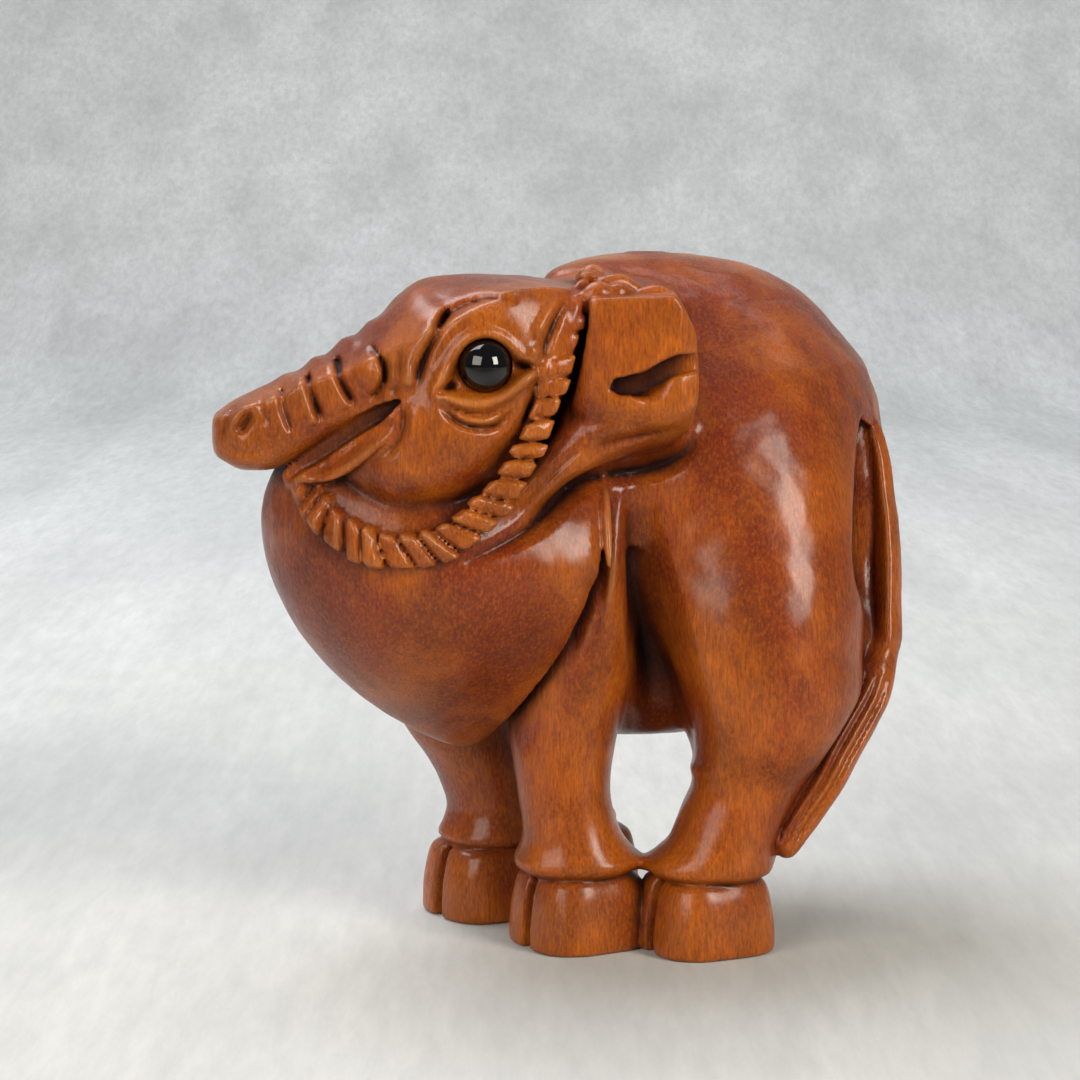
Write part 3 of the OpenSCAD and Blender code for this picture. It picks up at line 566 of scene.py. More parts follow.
    # Folds from the corner of the mouth and on the cheek
    draw(h, u, v, [
        (groove, [(-4.75, 17.35), (-4.6, 16.9), (-4.75, 16.3), (-5.2, 15.75)], 0.2, 0.16),
        (ridge, [(-4.35, 17.4), (-4.25, 16.8), (-4.45, 16.1)], 0.34, 0.09),
        (groove, [(-6.35, 14.95), (-5.7, 14.35), (-4.9, 14.0), (-4.2, 14.05)], 0.25, 0.1, 0.3, 0.3, 2),
        (ridge, [(-5.6, 14.9), (-4.6, 15.2), (-3.6, 15.3)], 0.8, 0.1),
    ])
    head.raise_by(area, h[:, None, :] * ease(0.55, 1.2, w))


def carve_ears(wood):
    """Near ear, a block with a flat face and a slit, with the fold of skin that runs down from it beside the
    rope; and the far ear, a like block that lies on the neck"""
    near = [(0.9, 20.4), (3.42, 20.5), (3.76, 19.95), (4.04, 19.3), (4.12, 18.4), (4.09, 17.2),
            (3.9, 16.45), (3.4, 15.9), (2.4, 15.5), (1.4, 15.3), (0.75, 15.5), (0.3, 16.2), (0.3, 17.0),
            (0.42, 17.9), (0.6, 18.7), (0.77, 19.6)]
    far = [(0.9, 20.4), (3.42, 20.5), (3.85, 19.7), (4.05, 18.6), (4.05, 17.4), (3.86, 16.5), (3.3, 16.1),
           (2.36, 15.85), (1.2, 15.6), (0.45, 16.2), (0.6, 17.4), (0.73, 18.9)]
    slit = [(1.45, 17.72), (1.6, 18.04), (2.0, 18.12), (2.45, 18.2), (3.0, 18.52), (3.5, 18.74),
            (4.35, 18.72), (4.35, 18.3), (3.6, 18.16), (3.1, 17.96), (2.6, 17.66), (2.2, 17.52),
            (1.75, 17.52)]
    # The fold of skin, and the root of the ear
    for points in (
            [(1.5, -5.9, 16.5, 0.9), (0.6, -6.05, 15.95, 0.88), (-0.1, -6.1, 15.3, 0.78),
             (-0.7, -6.1, 14.7, 0.68), (-1.3, -6.05, 14.1, 0.6), (-2.0, -5.95, 13.5, 0.45),
             (-2.5, -5.8, 13.1, 0.25)],
            [(0.55, -5.3, 19.2, 0.5), (0.35, -5.5, 18.0, 0.7), (0.3, -5.6, 17.0, 0.8)]):
        wood.tube(points, 0.3)
    # The near ear: how far its face stands out, and its edges, softer towards the bottom
    area, x, y, z = wood.window((-3.2, -8.2, 12.4), (5.2, -3.4, 21.6))
    u, v = side_view(x, z)
    face = 7.28 - 0.05 * (u - 2.3) ** 2 - 1.5 * ease(17.4, 14.9, v) - 0.25 * ease(1.0, 0.2, u)
    face -= 0.5 * np.clip(u - 3.66, 0, 1)
    face += 0.05 * np.sin(2.1 * u + 0.7) * np.sin(1.3 * v)
    soft = 0.1 + 1.3 * ease(17.6, 15.8, v)
    block = trim(inside(u, v, near)[:, None, :] + 0 * y, -y - face[:, None, :], soft[:, None, :])
    wood.add(area, trim(block, 4.5 + y, 0.2), 0.08 + 0.5 * ease(17.2, 16.2, z))
    wood.cut(area, np.maximum(inside(u, v, slit)[:, None, :], 6.6 + y), 0.14)
    lip = inside(u, v, [(2.2, 17.5), (2.7, 17.62), (3.2, 17.95), (3.0, 17.5), (2.6, 17.3)])
    wood.raise_by(area, -0.16 * ease(0.12, -0.12, lip)[:, None, :] * ease(-6.4, -6.9, y))
    # Dark groove between the rope and the ear, and folds that run down from the ear
    h = draw(0, u, v, [
        (groove, [(0.75, 20.1), (0.6, 19.2), (0.4, 18.2), (0.05, 17.2), (-0.4, 16.2), (-0.9, 15.3),
                  (-1.5, 14.4)], 0.2, 0.35, 0.05, 0.2),
        (groove, [(1.3, 16.35), (0.4, 15.75), (-0.4, 15.0), (-1.2, 14.2)], 0.16, 0.13, 0.3, 0.3),
        (ridge, [(2.2, 16.6), (1.4, 16.5), (0.8, 16.3)], 0.35, 0.1),
    ])
    wood.raise_by(area, h[:, None, :] * ease(-4.6, -5.4, y))
    # Recess under the ear and outside the fold
    h = draw(0, u, v, [
        (groove, [(4.2, 16.0), (3.6, 15.45), (2.7, 15.1), (1.5, 14.98), (0.5, 14.75), (-0.1, 14.25),
                  (-0.9, 13.55), (-1.9, 13.0), (-2.9, 12.6)], 0.46, 0.42, 0.2, 0.35),
        (groove, [(3.6, 16.55), (2.4, 16.3), (1.3, 16.0), (0.5, 15.5)], 0.2, 0.16, 0.2, 0.3),
    ])
    wood.raise_by(area, h[:, None, :] * ease(-3.6, -4.4, y))
    # The far ear
    area, x, y, z = wood.window((-3.2, -3.5, 13.6), (2.6, 4.6, 20.6))
    c, s = math.cos(math.radians(82)), math.sin(math.radians(82))
    u = (x + 0.55) * c + (y + 2.6) * s + 0 * z
    t = 5.75 - ((x + 0.55) * s - (y + 2.6) * c) + 0 * z
    v = z + 0.9 + 0 * x + 0 * y
    face = 7.28 - 0.09 * (u - 2.3) ** 2 - 0.64 * ease(17.2, 15.6, v)
    block = trim(inside(u, v, far), t - face, 0.35)
    wood.add(area, trim(trim(block, 4.5 - t, 0.2), (u - 3.72) * 0.75 + (t - 6.6) * 0.66, 0.12), 0.12)
    wood.cut(area, np.maximum(inside(u, v, slit), 6.6 - t), 0.14)


def carve_rope(wood):
    """Halter rope on both sides, its strands cut as flat blocks, and the hair over the poll"""
    path = smooth([
        (-7.85, 0.3, 14.75, 0.3), (-7.72, 1.1, 14.75, 0.36), (-7.36, 1.75, 14.35, 0.44),
        (-6.96, 2.25, 13.86, 0.48), (-6.37, 2.7, 13.38, 0.5), (-5.63, 3.0, 13.08, 0.5),
        (-4.74, 3.2, 12.97, 0.5), (-3.86, 3.32, 13.08, 0.5), (-3.11, 3.4, 13.42, 0.5),
        (-2.43, 3.42, 13.94, 0.48), (-1.84, 3.42, 14.58, 0.46), (-1.34, 3.4, 15.28, 0.42),
        (-0.92, 3.35, 16.0, 0.38), (-0.62, 3.28, 16.7, 0.36), (-0.33, 3.15, 17.5, 0.34),
        (-0.03, 3.0, 18.38, 0.33), (0.2, 2.8, 19.2, 0.32), (0.4, 2.45, 19.93, 0.32),
        (0.62, 1.9, 20.5, 0.3), (0.95, 1.1, 20.85, 0.28), (1.05, 0.2, 20.9, 0.26)], 5)
    area, x, y, z = wood.window((-8.9, -9.0, 12.0), (1.8, 0.2, 21.7))
    w = fold(x, y)
    best = np.full(np.broadcast(x, y, z).shape, 9, np.float32)
    way, slant, top = (np.zeros_like(best) for _ in range(3))
    gone = 0.0
    for a, b in zip(path, path[1:]):
        run = b[:3] - a[:3]
        length = math.sqrt(run @ run)
        px, pw, pz = x - a[0], w - a[1], z - a[2]
        t = np.clip((px * run[0] + pw * run[1] + pz * run[2]) / length ** 2, 0, 1)
        dx, dw, dz = px - t * run[0], pw - t * run[1], pz - t * run[2]
        r = a[3] + t * (b[3] - a[3])
        gap = np.sqrt(dx ** 2 + dw ** 2 + dz ** 2) - r
        closer = gap < best
        best = np.where(closer, gap, best)
        way = np.where(closer, gone + t * length, way)
        slant = np.where(closer, (dx * run[2] - dz * run[0]) / length, slant)
        top = np.where(closer, dw - 0.66 * r, top)
        gone += length
    phase = (way - 0.5 * slant + 0.07 * np.sin(3.1 * way)) / 0.66
    block = np.round(phase - 0.5)
    notch = np.abs(phase - np.round(phase)) * 2
    lift = 0.07 * np.sin(2.4 * block) - (0.16 * np.sin(1.7 * block) + 0.1) * slant
    lift = lift + 0.12 * (phase - block - 0.5)
    shape = trim(best - 0.06 - 0.05 * np.sin(4.3 * block), top - lift + 0.04, 0.05)
    wood.add(area, shape + 0.34 * np.clip(1 - notch / (0.26 + 0.06 * np.sin(5.1 * block)), 0, 1), 0.02)
    for points in ([(0.6, -6.45, 20.25, 0.2), (1.1, -6.4, 20.52, 0.36), (1.42, -6.35, 20.42, 0.3),
                    (1.75, -6.3, 20.52, 0.3), (2.25, -6.1, 20.3, 0.2)],
                   [(1.3, -5.6, 20.7, 0.3), (1.8, -5.5, 20.78, 0.28), (2.35, -5.4, 20.5, 0.2)],
                   [(2.4, -5.9, 20.45, 0.2), (2.9, -5.8, 20.5, 0.24), (3.4, -5.8, 20.35, 0.15)],
                   [(0.3, -6.9, 19.7, 0.2), (0.45, -6.7, 20.15, 0.26), (0.6, -6.3, 20.4, 0.2)]):
        wood.tube(points, 0.06)


# The whole carving


def leave_tool_marks(wood):
    """Shallow hollows of a round knife all over the wood"""
    area, x, y, z = wood.window(*WHOLE)
    marks = np.sin(4.3 * x + 1.1 * np.sin(2.1 * z)) * np.sin(4.1 * y + 1.3 * np.sin(1.7 * x))
    marks = marks * np.sin(2.9 * z + 0.9 * y)
    wood.raise_by(area, TOOL_MARK * marks.astype(np.float32))


def drill(wood, sizes):
    """Cord hole, eye sockets and the flat soles"""
    area, x, y, z = wood.window((2.8, 1.3, -0.4), (6.0, 4.6, 22))
    bore = np.hypot(x - CORD_PLACE[0], y - CORD_PLACE[1]) - sizes.cord_hole / 2 / MM
    wood.cut(area, bore + 0 * z, 0.3)
    area, x, y, z = wood.window((-4, -9, 16.5), (0, 0.8, 20.5))
    socket = np.hypot(x - EYE_PLACE[0], z - EYE_PLACE[1]) - sizes.eye_width / 2 / MM - SOCKET_SLACK
    wood.cut(area, np.maximum(socket, SOCKET_FLOOR - fold(x, y)), 0.1)
    area, x, y, z = wood.window(WHOLE[0], (99, 99, 1.0))
    wood.cut(area, z + 0 * x + 0 * y, 0.1)


def carve_wood(cell, sizes):
    """The whole carving, on a grid of the given spacing"""
    wood = Wood([np.arange(a, b + cell, cell, dtype=np.float32) for a, b in zip(*BLOCK)], cell)
    for carve in (carve_trunk, carve_front, carve_hooves, carve_head, carve_ears, carve_rope, carve_tail,
                  leave_tool_marks):
        carve(wood)
    drill(wood, sizes)
    return wood


# Its mesh


def blur(field, cells):
    """Mean over a cube that reaches some cells to each side"""
    span = 2 * cells + 1
    for axis in range(3):
        margins = [(cells + 1, cells) if a == axis else (0, 0) for a in range(3)]
        total = np.cumsum(np.pad(field, margins, "edge"), axis=axis, dtype=np.float64)
        ahead = np.take(total, range(span, total.shape[axis]), axis)
        behind = np.take(total, range(total.shape[axis] - span), axis)
        field = ((ahead - behind) / span).astype(np.float32)
    return field


def read_field(field, places):
    """Values of a field between its grid points, at places counted in cells"""
    base = np.clip(np.floor(places).astype(int), 0, np.array(field.shape) - 2)
    part = (places - base).astype(np.float32)
    shares = np.stack([1 - part, part])
    out = 0
    for i, j, k in np.ndindex(2, 2, 2):
        share = shares[i, :, 0] * shares[j, :, 1] * shares[k, :, 2]
        out = out + share * field[base[:, 0] + i, base[:, 1] + j, base[:, 2] + k]
    return out


def carve_mesh(wood, name):
    """Mesh of the surface of the field, thinned where it is flat"""
    grid = openvdb.FloatGrid(FAR)
    grid.copyFromArray(wood.field)
    points, triangles, quads = grid.convertToPolygons(0.0, 0.0)
    low = np.array([a[0] for a in wood.axes])
    dense = bpy.data.meshes.new(name)
    dense.from_pydata(((points * wood.cell + low) * MM).tolist(), [], quads.tolist() + triangles.tolist())
    block = bpy.data.objects.new(name + "_dense", dense)
    bpy.context.scene.collection.objects.link(block)
    thin = block.modifiers.new("thin", "DECIMATE")
    thin.ratio = min(1.0, MOST_TRIANGLES / (2 * len(quads) + len(triangles)))
    mesh = bpy.data.meshes.new_from_object(block.evaluated_get(bpy.context.evaluated_depsgraph_get()))
    mesh.name = name
    bpy.data.objects.remove(block)
    bpy.data.meshes.remove(dense)
    read_shape(wood, low, mesh)
    return mesh


def read_shape(wood, low, mesh):
    """Shades a mesh with the field's own slope, and notes how hollow, how edged and how proud the wood is at
    each point, for its finish"""
    places = np.empty(3 * len(mesh.vertices), np.float32)
    mesh.vertices.foreach_get("co", places)
    places = (places.reshape(-1, 3) / MM - low) / wood.cell
    near = np.clip(wood.field, -BAND, BAND)
    fine, wide, broad = (read_field(blur(near, max(1, round(reach / wood.cell))), places) for reach in BLURS)
    # The finish paints shade into hollow places over gathered stain, and highlights onto edges over wear
    for key, values in (("shaded_hollow", ease(0.0, 0.16, -fine) * 0.5 + ease(0.01, 0.22, -wide) * 0.85),
                        ("edge", ease(0.03, 0.14, fine) * 0.6), ("proud", ease(0.02, 0.3, broad))):
        data = mesh.attributes.new(key, "FLOAT", "POINT")
        data.data.foreach_set("value", np.clip(values, 0, 1).astype(np.float32))
    slope = np.stack([read_field(part, places) for part in np.gradient(near)], 1)
    slope /= np.linalg.norm(slope, axis=1, keepdims=True) + 1e-6
    mesh.shade_smooth()
    mesh.normals_split_custom_set_from_vertices(slope.tolist())


# Finishes


def linear(code):
    """Linear colour of an sRGB hex value"""
    parts = [int(code[i:i + 2], 16) / 255 for i in (1, 3, 5)]
    return [c / 12.92 if c <= 0.04045 else ((c + 0.055) / 1.055) ** 2.4 for c in parts]


def add_node(tree, kind, inputs=None, **settings):
    """Adds a node with its settings; an input given as a socket is linked, any other is set"""
    node = tree.nodes.new(kind)
    for name, value in settings.items():
        setattr(node, name, value)
    for key, value in (inputs or {}).items():
        if isinstance(value, bpy.types.NodeSocket):
            tree.links.new(value, node.inputs[key])
        else:
            node.inputs[key].default_value = value
    return node


def new_finish(name):
    """A material with only its output and its shader"""
    finish = bpy.data.materials.new(name)
    finish.use_nodes = True
    tree = finish.node_tree
    tree.nodes.clear()
    shader = add_node(tree, "ShaderNodeBsdfPrincipled")
    add_node(tree, "ShaderNodeOutputMaterial", {"Surface": shader.outputs[0]})
    return finish, tree, shader


def pattern(tree, place, size, detail, rough, low, high):
    """Noise whose patches have the given sizes in millimetres, spread from 0 to 1 between low and high"""
    patches = [1 / (s * MM) for s in size]
    scaled = add_node(tree, "ShaderNodeVectorMath", {0: place, 1: patches}, operation="MULTIPLY")
    noise = add_node(tree, "ShaderNodeTexNoise", {
        "Vector": scaled.outputs[0], "Scale": 1.0, "Detail": detail, "Roughness": rough})
    return add_node(tree, "ShaderNodeMapRange", {0: noise.outputs[0], 1: low, 2: high}, clamp=True).outputs[0]


def layered(tree, colour, layers):
    """Colour with others laid over it, each as much as its share of a pattern says"""
    for share, factor, tint in layers:
        part = add_node(tree, "ShaderNodeMath", {0: factor, 1: share}, operation="MULTIPLY").outputs[0]
        colour = add_node(tree, "ShaderNodeMix", {0: part, 6: colour, 7: tint}, data_type="RGBA").outputs[2]
    return colour


def boxwood_finish(colours):
    """Finish of the wood"""
    # Boxwood, carved with knives, stained red-brown and rubbed with wax: a dense wood with fine upright
    # fibres, amber where handling thinned the stain, with a soft satin shine. The cuts are nearly black-red
    # from gathered stain and painted shade, and the edges pale from wear and painted highlights.
    # The fibres are drawn 0.07 mm thick, a few times coarser than real ones, so that they show at all
    finish, tree, shader = new_finish("boxwood, carved, stained and waxed")
    place = add_node(tree, "ShaderNodeTexCoord").outputs["Object"]
    shaded_hollow, edge, proud = (add_node(tree, "ShaderNodeAttribute", attribute_name=name).outputs["Fac"]
                           for name in ("shaded_hollow", "edge", "proud"))
    blotch = pattern(tree, place, (3.2, 3.2, 4.4), 4, 0.62, 0.45, 0.6)
    fibre = pattern(tree, place, (0.07, 0.07, 0.5), 5, 0.75, 0.4, 0.66)
    speck = pattern(tree, place, (0.1, 0.1, 0.16), 3, 0.7, 0.46, 0.68)
    shade = pattern(tree, place, (1.6, 1.6, 2.6), 3, 0.55, 0.42, 0.72)
    # Edges: wear and painted highlight; hollows: gathered stain and painted shade
    colour = layered(tree, colours.stain, (
        (0.65, blotch, colours.amber), (0.7, proud, colours.amber), (0.6, shade, colours.deep),
        (0.6, fibre, colours.deep), (0.36, speck, colours.amber), (0.65, edge, colours.rubbed_and_highlit),
        (1.0, shaded_hollow, colours.recess_stain_and_shade)))
    tree.links.new(colour, shader.inputs["Base Color"])
    rough = add_node(tree, "ShaderNodeMapRange", {0: fibre, 3: 0.3, 4: 0.46})
    tree.links.new(rough.outputs[0], shader.inputs["Roughness"])
    shader.inputs["IOR"].default_value = 1.46
    shader.inputs["Specular IOR Level"].default_value = 0.14
    # The wax is rubbed to a shine on the open wood, and lies dull in the cuts
    coat = add_node(tree, "ShaderNodeMapRange", {0: shaded_hollow, 3: 0.5, 4: 0.08})
    tree.links.new(coat.outputs[0], shader.inputs["Coat Weight"])
    shader.inputs["Coat Roughness"].default_value = 0.23
    # Low facets left by the knife, under the fibres
    patches = [1 / (s * MM) for s in (1.1, 1.1, 1.9)]
    scaled = add_node(tree, "ShaderNodeVectorMath", {0: place, 1: patches}, operation="MULTIPLY")
    facets = add_node(tree, "ShaderNodeTexVoronoi", {"Vector": scaled.outputs[0], "Scale": 1.0},
                      feature="SMOOTH_F1")
    height = add_node(tree, "ShaderNodeMath", {0: fibre, 1: -0.5, 2: facets.outputs["Distance"]},
                      operation="MULTIPLY_ADD")
    bump = add_node(tree, "ShaderNodeBump", {
        "Strength": 0.85, "Distance": 0.06 * MM, "Height": height.outputs[0]})
    tree.links.new(bump.outputs[0], shader.inputs["Normal"])
    return finish


def horn_finish(colours):
    """Finish of the eyes"""
    # Buffalo horn, turned and polished: black and glassy, with faint streaks under the polish
    finish, tree, shader = new_finish("buffalo horn, turned and polished")
    place = add_node(tree, "ShaderNodeTexCoord").outputs["Object"]
    streak = pattern(tree, place, (0.12, 0.12, 0.5), 3, 0.6, 0.4, 0.8)
    colour = layered(tree, colours.horn, [(1.0, streak, colours.horn_streak)])
    tree.links.new(colour, shader.inputs["Base Color"])
    shader.inputs["IOR"].default_value = 1.54
    shader.inputs["Roughness"].default_value = 0.05
    return finish


def stone_finish(colours):
    """Finish of the slab"""
    # Honed pale limestone: matt, with soft clouds and fine specks, paler towards the back. A strip in front,
    # out of the picture, is painted dark to stand in for the dark room in front, which keeps its glare off
    # the wood
    finish, tree, shader = new_finish("limestone, honed")
    place = add_node(tree, "ShaderNodeTexCoord").outputs["Object"]
    depth = add_node(tree, "ShaderNodeSeparateXYZ", {0: place}).outputs["Y"]
    far, front = (
        add_node(tree, "ShaderNodeMapRange", {0: depth, 1: start * MM, 2: end * MM}, clamp=True).outputs[0]
        for start, end in ((10, 200), (-60, -20)))
    colour = layered(tree, colours.floor, [(1.0, far, colours.backdrop)])
    # Painted shade: the front strip is darkened, standing in for the dark room in front of the bead
    colour = add_node(tree, "ShaderNodeMix", {0: front, 6: colours.painted_dark_front, 7: colour},
                      data_type="RGBA").outputs[2]
    cloud = pattern(tree, place, (9, 60, 9), 5, 0.65, 0.34, 0.66)
    speck = pattern(tree, place, (0.7, 4.5, 0.7), 5, 0.75, 0.36, 0.66)
    colour = layered(tree, colour, ((0.4, cloud, colours.floor_cloud), (0.34, speck, colours.floor_cloud)))
    tree.links.new(colour, shader.inputs["Base Color"])
    shader.inputs["Roughness"].default_value = 0.8
    return finish


# Sizes and colours that a user would change


def size_setting(name, description, value, least, most):
    """A length that a user can change, kept in metres and given in millimetres"""
    return FloatProperty(name=name, description=description, default=value * MM, min=least * MM,
                         max=most * MM, precision=5, subtype="DISTANCE", unit="LENGTH")


def colour_setting(name, description, code):
    """A colour that a user can change, given as an sRGB hex value"""
    return FloatVectorProperty(name=name, description=description, default=(*linear(code), 1.0), size=4,
                               subtype="COLOR", min=0.0, max=1.0)


EYE_LOW, EYE_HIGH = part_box("left_eye")


class OjimeSizes(bpy.types.PropertyGroup):
    """Sizes of the ojime ox"""

    step: size_setting("Carving step", "Spacing of the grid that the wood is carved on", 0.1, 0.05, 0.4)
    cord_hole: size_setting("Cord hole", "Diameter of the hole for the cord", 2.0, 1.4, 2.6)
    eye_width: size_setting("Eye", "Diameter of an inlaid eye", (EYE_HIGH[0] - EYE_LOW[0]) / MM, 1.1, 1.9)
    eye_dome: size_setting("Eye dome", "Height of an eye's dome over its peg", 0.5, 0.3, 0.7)
    camera_distance: size_setting("Camera distance", "From the camera to the bead's middle", 105.3, 60, 400)


class OjimeColours(bpy.types.PropertyGroup):
    """Colours of the ojime ox and of its stage"""

    stain: colour_setting("Stain", "Boxwood with its full stain", "#862f03")
    amber: colour_setting("Amber", "Boxwood where the stain is thin", "#c0640a")
    deep: colour_setting("Deep fibres", "Fibres that took up most stain", "#4c1703")
    # Painted shade in the cuts, over the stain and wax that gather there
    recess_stain_and_shade: colour_setting("Recesses", "Stain and wax gathered in the cuts", "#200604")
    # Painted highlight along the edges, over the paleness of real wear
    rubbed_and_highlit: colour_setting("Rubbed edges", "Edges worn pale by rubbing", "#d08a4a")
    horn: colour_setting("Horn", "Polished horn of the eyes", "#030303")
    horn_streak: colour_setting("Horn streaks", "Streaks in the horn of the eyes", "#0c0907")
    floor: colour_setting("Floor", "Stone that the bead stands on", "#c4c4be")
    # Painted shade: a dark strip in front of the bead, out of the picture, in place of the dark room
    painted_dark_front: colour_setting("Floor in front", "The slab's weathered strip, out of the picture", "#3c3c3a")
    backdrop: colour_setting("Backdrop", "The same stone far behind the bead", "#e2e4e1")
    floor_cloud: colour_setting("Floor clouds", "Clouds in the stone", "#9b9d99")


# Pieces


def new_piece(name, mesh, finish, node):
    """Puts a mesh in the scene in place of a node of the frame"""
    if not mesh.polygons:
        raise RuntimeError(f"{name} has no faces")
    piece = bpy.data.objects.new(name, mesh)
    bpy.context.scene.collection.objects.link(piece)
    mesh.materials.append(finish)
    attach(piece, "root")
    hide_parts(node)


class OJIME_OT_carve_body(bpy.types.Operator):
    """Carves the ox out of one block of boxwood"""

    bl_idname = "ojime.carve_body"
    bl_label = "Carve the ox"

    def execute(self, context):
        sizes = context.scene.ojime_sizes
        wood = carve_wood(sizes.step / MM, sizes)
        finish = boxwood_finish(context.scene.ojime_colours)
        new_piece("ox_body", carve_mesh(wood, "ox_body"), finish, "carved_body")
        return {"FINISHED"}


class OJIME_OT_set_eyes(bpy.types.Operator):
    """Turns the two eyes and sets them in their sockets"""

    bl_idname = "ojime.set_eyes"
    bl_label = "Set the eyes"

    def execute(self, context):
        sizes = context.scene.ojime_sizes
        finish = horn_finish(context.scene.ojime_colours)
        for side, name in ((-1, "left_eye"), (1, "right_eye")):
            new_piece(name + "_bead", turned_eye(name, side, sizes), finish, name)
        return {"FINISHED"}


def turned_eye(name, side, sizes):
    """Peg with a domed head, turned round the line of its socket"""
    low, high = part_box(name)
    middle = (Vector(low) + Vector(high)) / 2
    radius, dome = sizes.eye_width / 2, sizes.eye_dome
    ball = (radius ** 2 + dome ** 2) / (2 * dome)
    peg = high[1] - low[1] - dome
    slope = math.asin(radius / ball)
    arc = [slope * (1 - i / DOME_STEPS) for i in range(1, DOME_STEPS)]
    profile = [(0.0, 0.0), (radius * 0.92, 0.0), (radius, 0.04 * MM), (radius, peg)]
    profile += [(ball * math.sin(a), peg + dome - ball + ball * math.cos(a)) for a in arc]
    profile.append((0.0, peg + dome))
    made = bmesh.new()
    verts = [made.verts.new((r, 0, h)) for r, h in profile]
    edges = [made.edges.new(pair) for pair in zip(verts, verts[1:])]
    bmesh.ops.spin(made, geom=verts + edges, axis=(0, 0, 1), cent=(0, 0, 0), angle=math.tau, steps=EYE_STEPS,
                   use_duplicate=False)
    bmesh.ops.remove_doubles(made, verts=made.verts, dist=0.002 * MM)
    bmesh.ops.recalc_face_normals(made, faces=made.faces)
    start = low[1] if side > 0 else high[1]
    turn = Matrix.Rotation(math.radians(-90 * side), 4, "X")
    made.transform(Matrix.Translation((middle.x, start, middle.z)) @ turn)
    mesh = bpy.data.meshes.new(name + "_bead")
    made.to_mesh(mesh)
    made.free()
    mesh.shade_smooth()
    return mesh


# Stage, in millimetres: the slab's front edge, where it begins to curve up, the curve's radius, the top and
# half the width
SLAB_FRONT, SLAB_BEND, SLAB_RADIUS, SLAB_TOP, SLAB_SIDE = -260, 190, 120, 420, 400
# Name, place, target, size, watts and tint of each lamp
LAMPS = [
    ("skylight", (-70, 50, 180), (0, 0, 10), (150, 130), 0.44, "#f2f5ff"),
    ("window", (115, -120, 80), (0, 0, 10), (60, 90), 0.3, "#fff8ee"),
    ("second_window", (-110, -150, 90), (0, 0, 10), (130, 120), 0.27, "#fff8ee"),
    ("sweep_light", (20, 120, 260), (20, 320, 60), (300, 60), 0.26, "#f6f8ff"),
]
ROOM_LIGHT, ROOM_TINT = 0.16, "#e6e9ee"
# What the camera looks at, its height over that as an angle, its lens and its sensor
CAMERA_TARGET, CAMERA_RISE = Vector((-0.6, 0, 12.35)), math.radians(7)
LENS, SENSOR = 110, 36


class OJIME_OT_lay_stage(bpy.types.Operator):
    """Lays the stone slab with its backdrop, hangs the lamps and places the camera"""

    bl_idname = "ojime.lay_stage"
    bl_label = "Lay the stage"

    def execute(self, context):
        context.scene.view_settings.view_transform = "Standard"
        lay_floor(stone_finish(context.scene.ojime_colours))
        hang_lamps()
        place_camera(context.scene.ojime_sizes.camera_distance)
        return {"FINISHED"}


def lay_floor(finish):
    """One sheet: level under the bead, curving up far behind it"""
    rows = [(SLAB_FRONT, 0), (SLAB_BEND, 0)]
    for a in np.linspace(0.1, math.pi / 2, 16):
        rows.append((SLAB_BEND + SLAB_RADIUS * math.sin(a), SLAB_RADIUS - SLAB_RADIUS * math.cos(a)))
    rows.append((SLAB_BEND + SLAB_RADIUS, SLAB_TOP))
    mesh = bpy.data.meshes.new("slab")
    verts = [(x * MM, y * MM, z * MM) for y, z in rows for x in (-SLAB_SIDE, SLAB_SIDE)]
    faces = [(2 * i, 2 * i + 1, 2 * i + 3, 2 * i + 2) for i in range(len(rows) - 1)]
    mesh.from_pydata(verts, [], faces)
    mesh.shade_smooth()
    mesh.materials.append(finish)
    slab = bpy.data.objects.new("slab", mesh)
    bpy.context.scene.collection.objects.link(slab)


def aim(thing, place, target):
    """Puts a lamp or a camera in the scene and turns it to its target"""
    thing.location = Vector(place) * MM
    thing.rotation_euler = ((Vector(target) - Vector(place)) * MM).to_track_quat("-Z", "Y").to_euler()
    bpy.context.scene.collection.objects.link(thing)


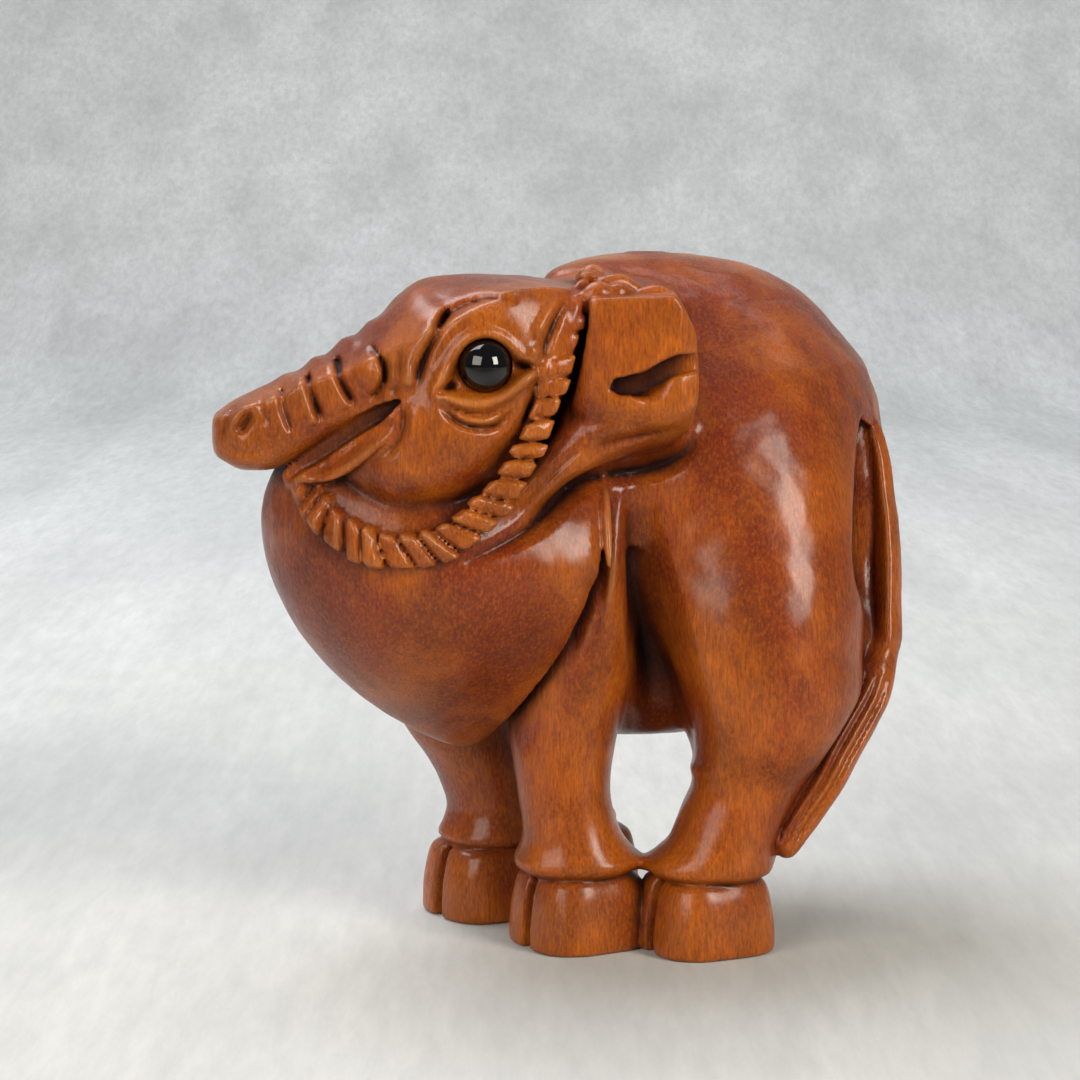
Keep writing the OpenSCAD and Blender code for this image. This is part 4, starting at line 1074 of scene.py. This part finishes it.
def hang_lamps():
    """Soft lamps, and a dim room around them"""
    for name, place, target, size, power, tint in LAMPS:
        lamp = bpy.data.lights.new(name, "AREA")
        lamp.shape = "RECTANGLE"
        lamp.size, lamp.size_y = size[0] * MM, size[1] * MM
        lamp.energy = power
        lamp.color = linear(tint)
        aim(bpy.data.objects.new(name, lamp), place, target)
    world = bpy.data.worlds.new("room")
    bpy.context.scene.world = world
    world.use_nodes = True
    room = world.node_tree.nodes["Background"]
    room.inputs["Color"].default_value = (*linear(ROOM_TINT), 1.0)
    room.inputs["Strength"].default_value = ROOM_LIGHT


def place_camera(distance):
    """A long lens, a little above the bead"""
    lens = bpy.data.cameras.new("camera")
    lens.lens, lens.sensor_width = LENS, SENSOR
    lens.clip_start, lens.clip_end = 0.005, 5
    camera = bpy.data.objects.new("camera", lens)
    way = Vector((0, -math.cos(CAMERA_RISE), math.sin(CAMERA_RISE)))
    aim(camera, CAMERA_TARGET + way * distance / MM, CAMERA_TARGET)
    bpy.context.scene.camera = camera


class OJIME_PT_panel(bpy.types.Panel):
    """Sizes, colours and steps of the ojime ox"""

    bl_idname = "OJIME_PT_panel"
    bl_label = "Ojime ox"
    bl_space_type = "VIEW_3D"
    bl_region_type = "UI"
    bl_category = "Ojime ox"

    def draw(self, context):
        for group in (context.scene.ojime_sizes, context.scene.ojime_colours):
            box = self.layout.box()
            for key in group.__annotations__:
                box.prop(group, key)
        for operator in STEPS:
            self.layout.operator(operator.bl_idname)


STEPS = (OJIME_OT_carve_body, OJIME_OT_set_eyes, OJIME_OT_lay_stage)
CLASSES = (OjimeSizes, OjimeColours, *STEPS, OJIME_PT_panel)


def register():
    """Registers the classes and their settings"""
    for cls in CLASSES:
        bpy.utils.register_class(cls)
    bpy.types.Scene.ojime_sizes = PointerProperty(type=OjimeSizes)
    bpy.types.Scene.ojime_colours = PointerProperty(type=OjimeColours)


def unregister():
    """Takes the settings and the classes away again"""
    del bpy.types.Scene.ojime_colours
    del bpy.types.Scene.ojime_sizes
    for cls in reversed(CLASSES):
        bpy.utils.unregister_class(cls)


def main():
    """Makes the bead and its stage"""
    register()
    bpy.ops.ojime.carve_body()
    bpy.ops.ojime.set_eyes()
    bpy.ops.ojime.lay_stage()


if __name__ == "__main__":
    main()
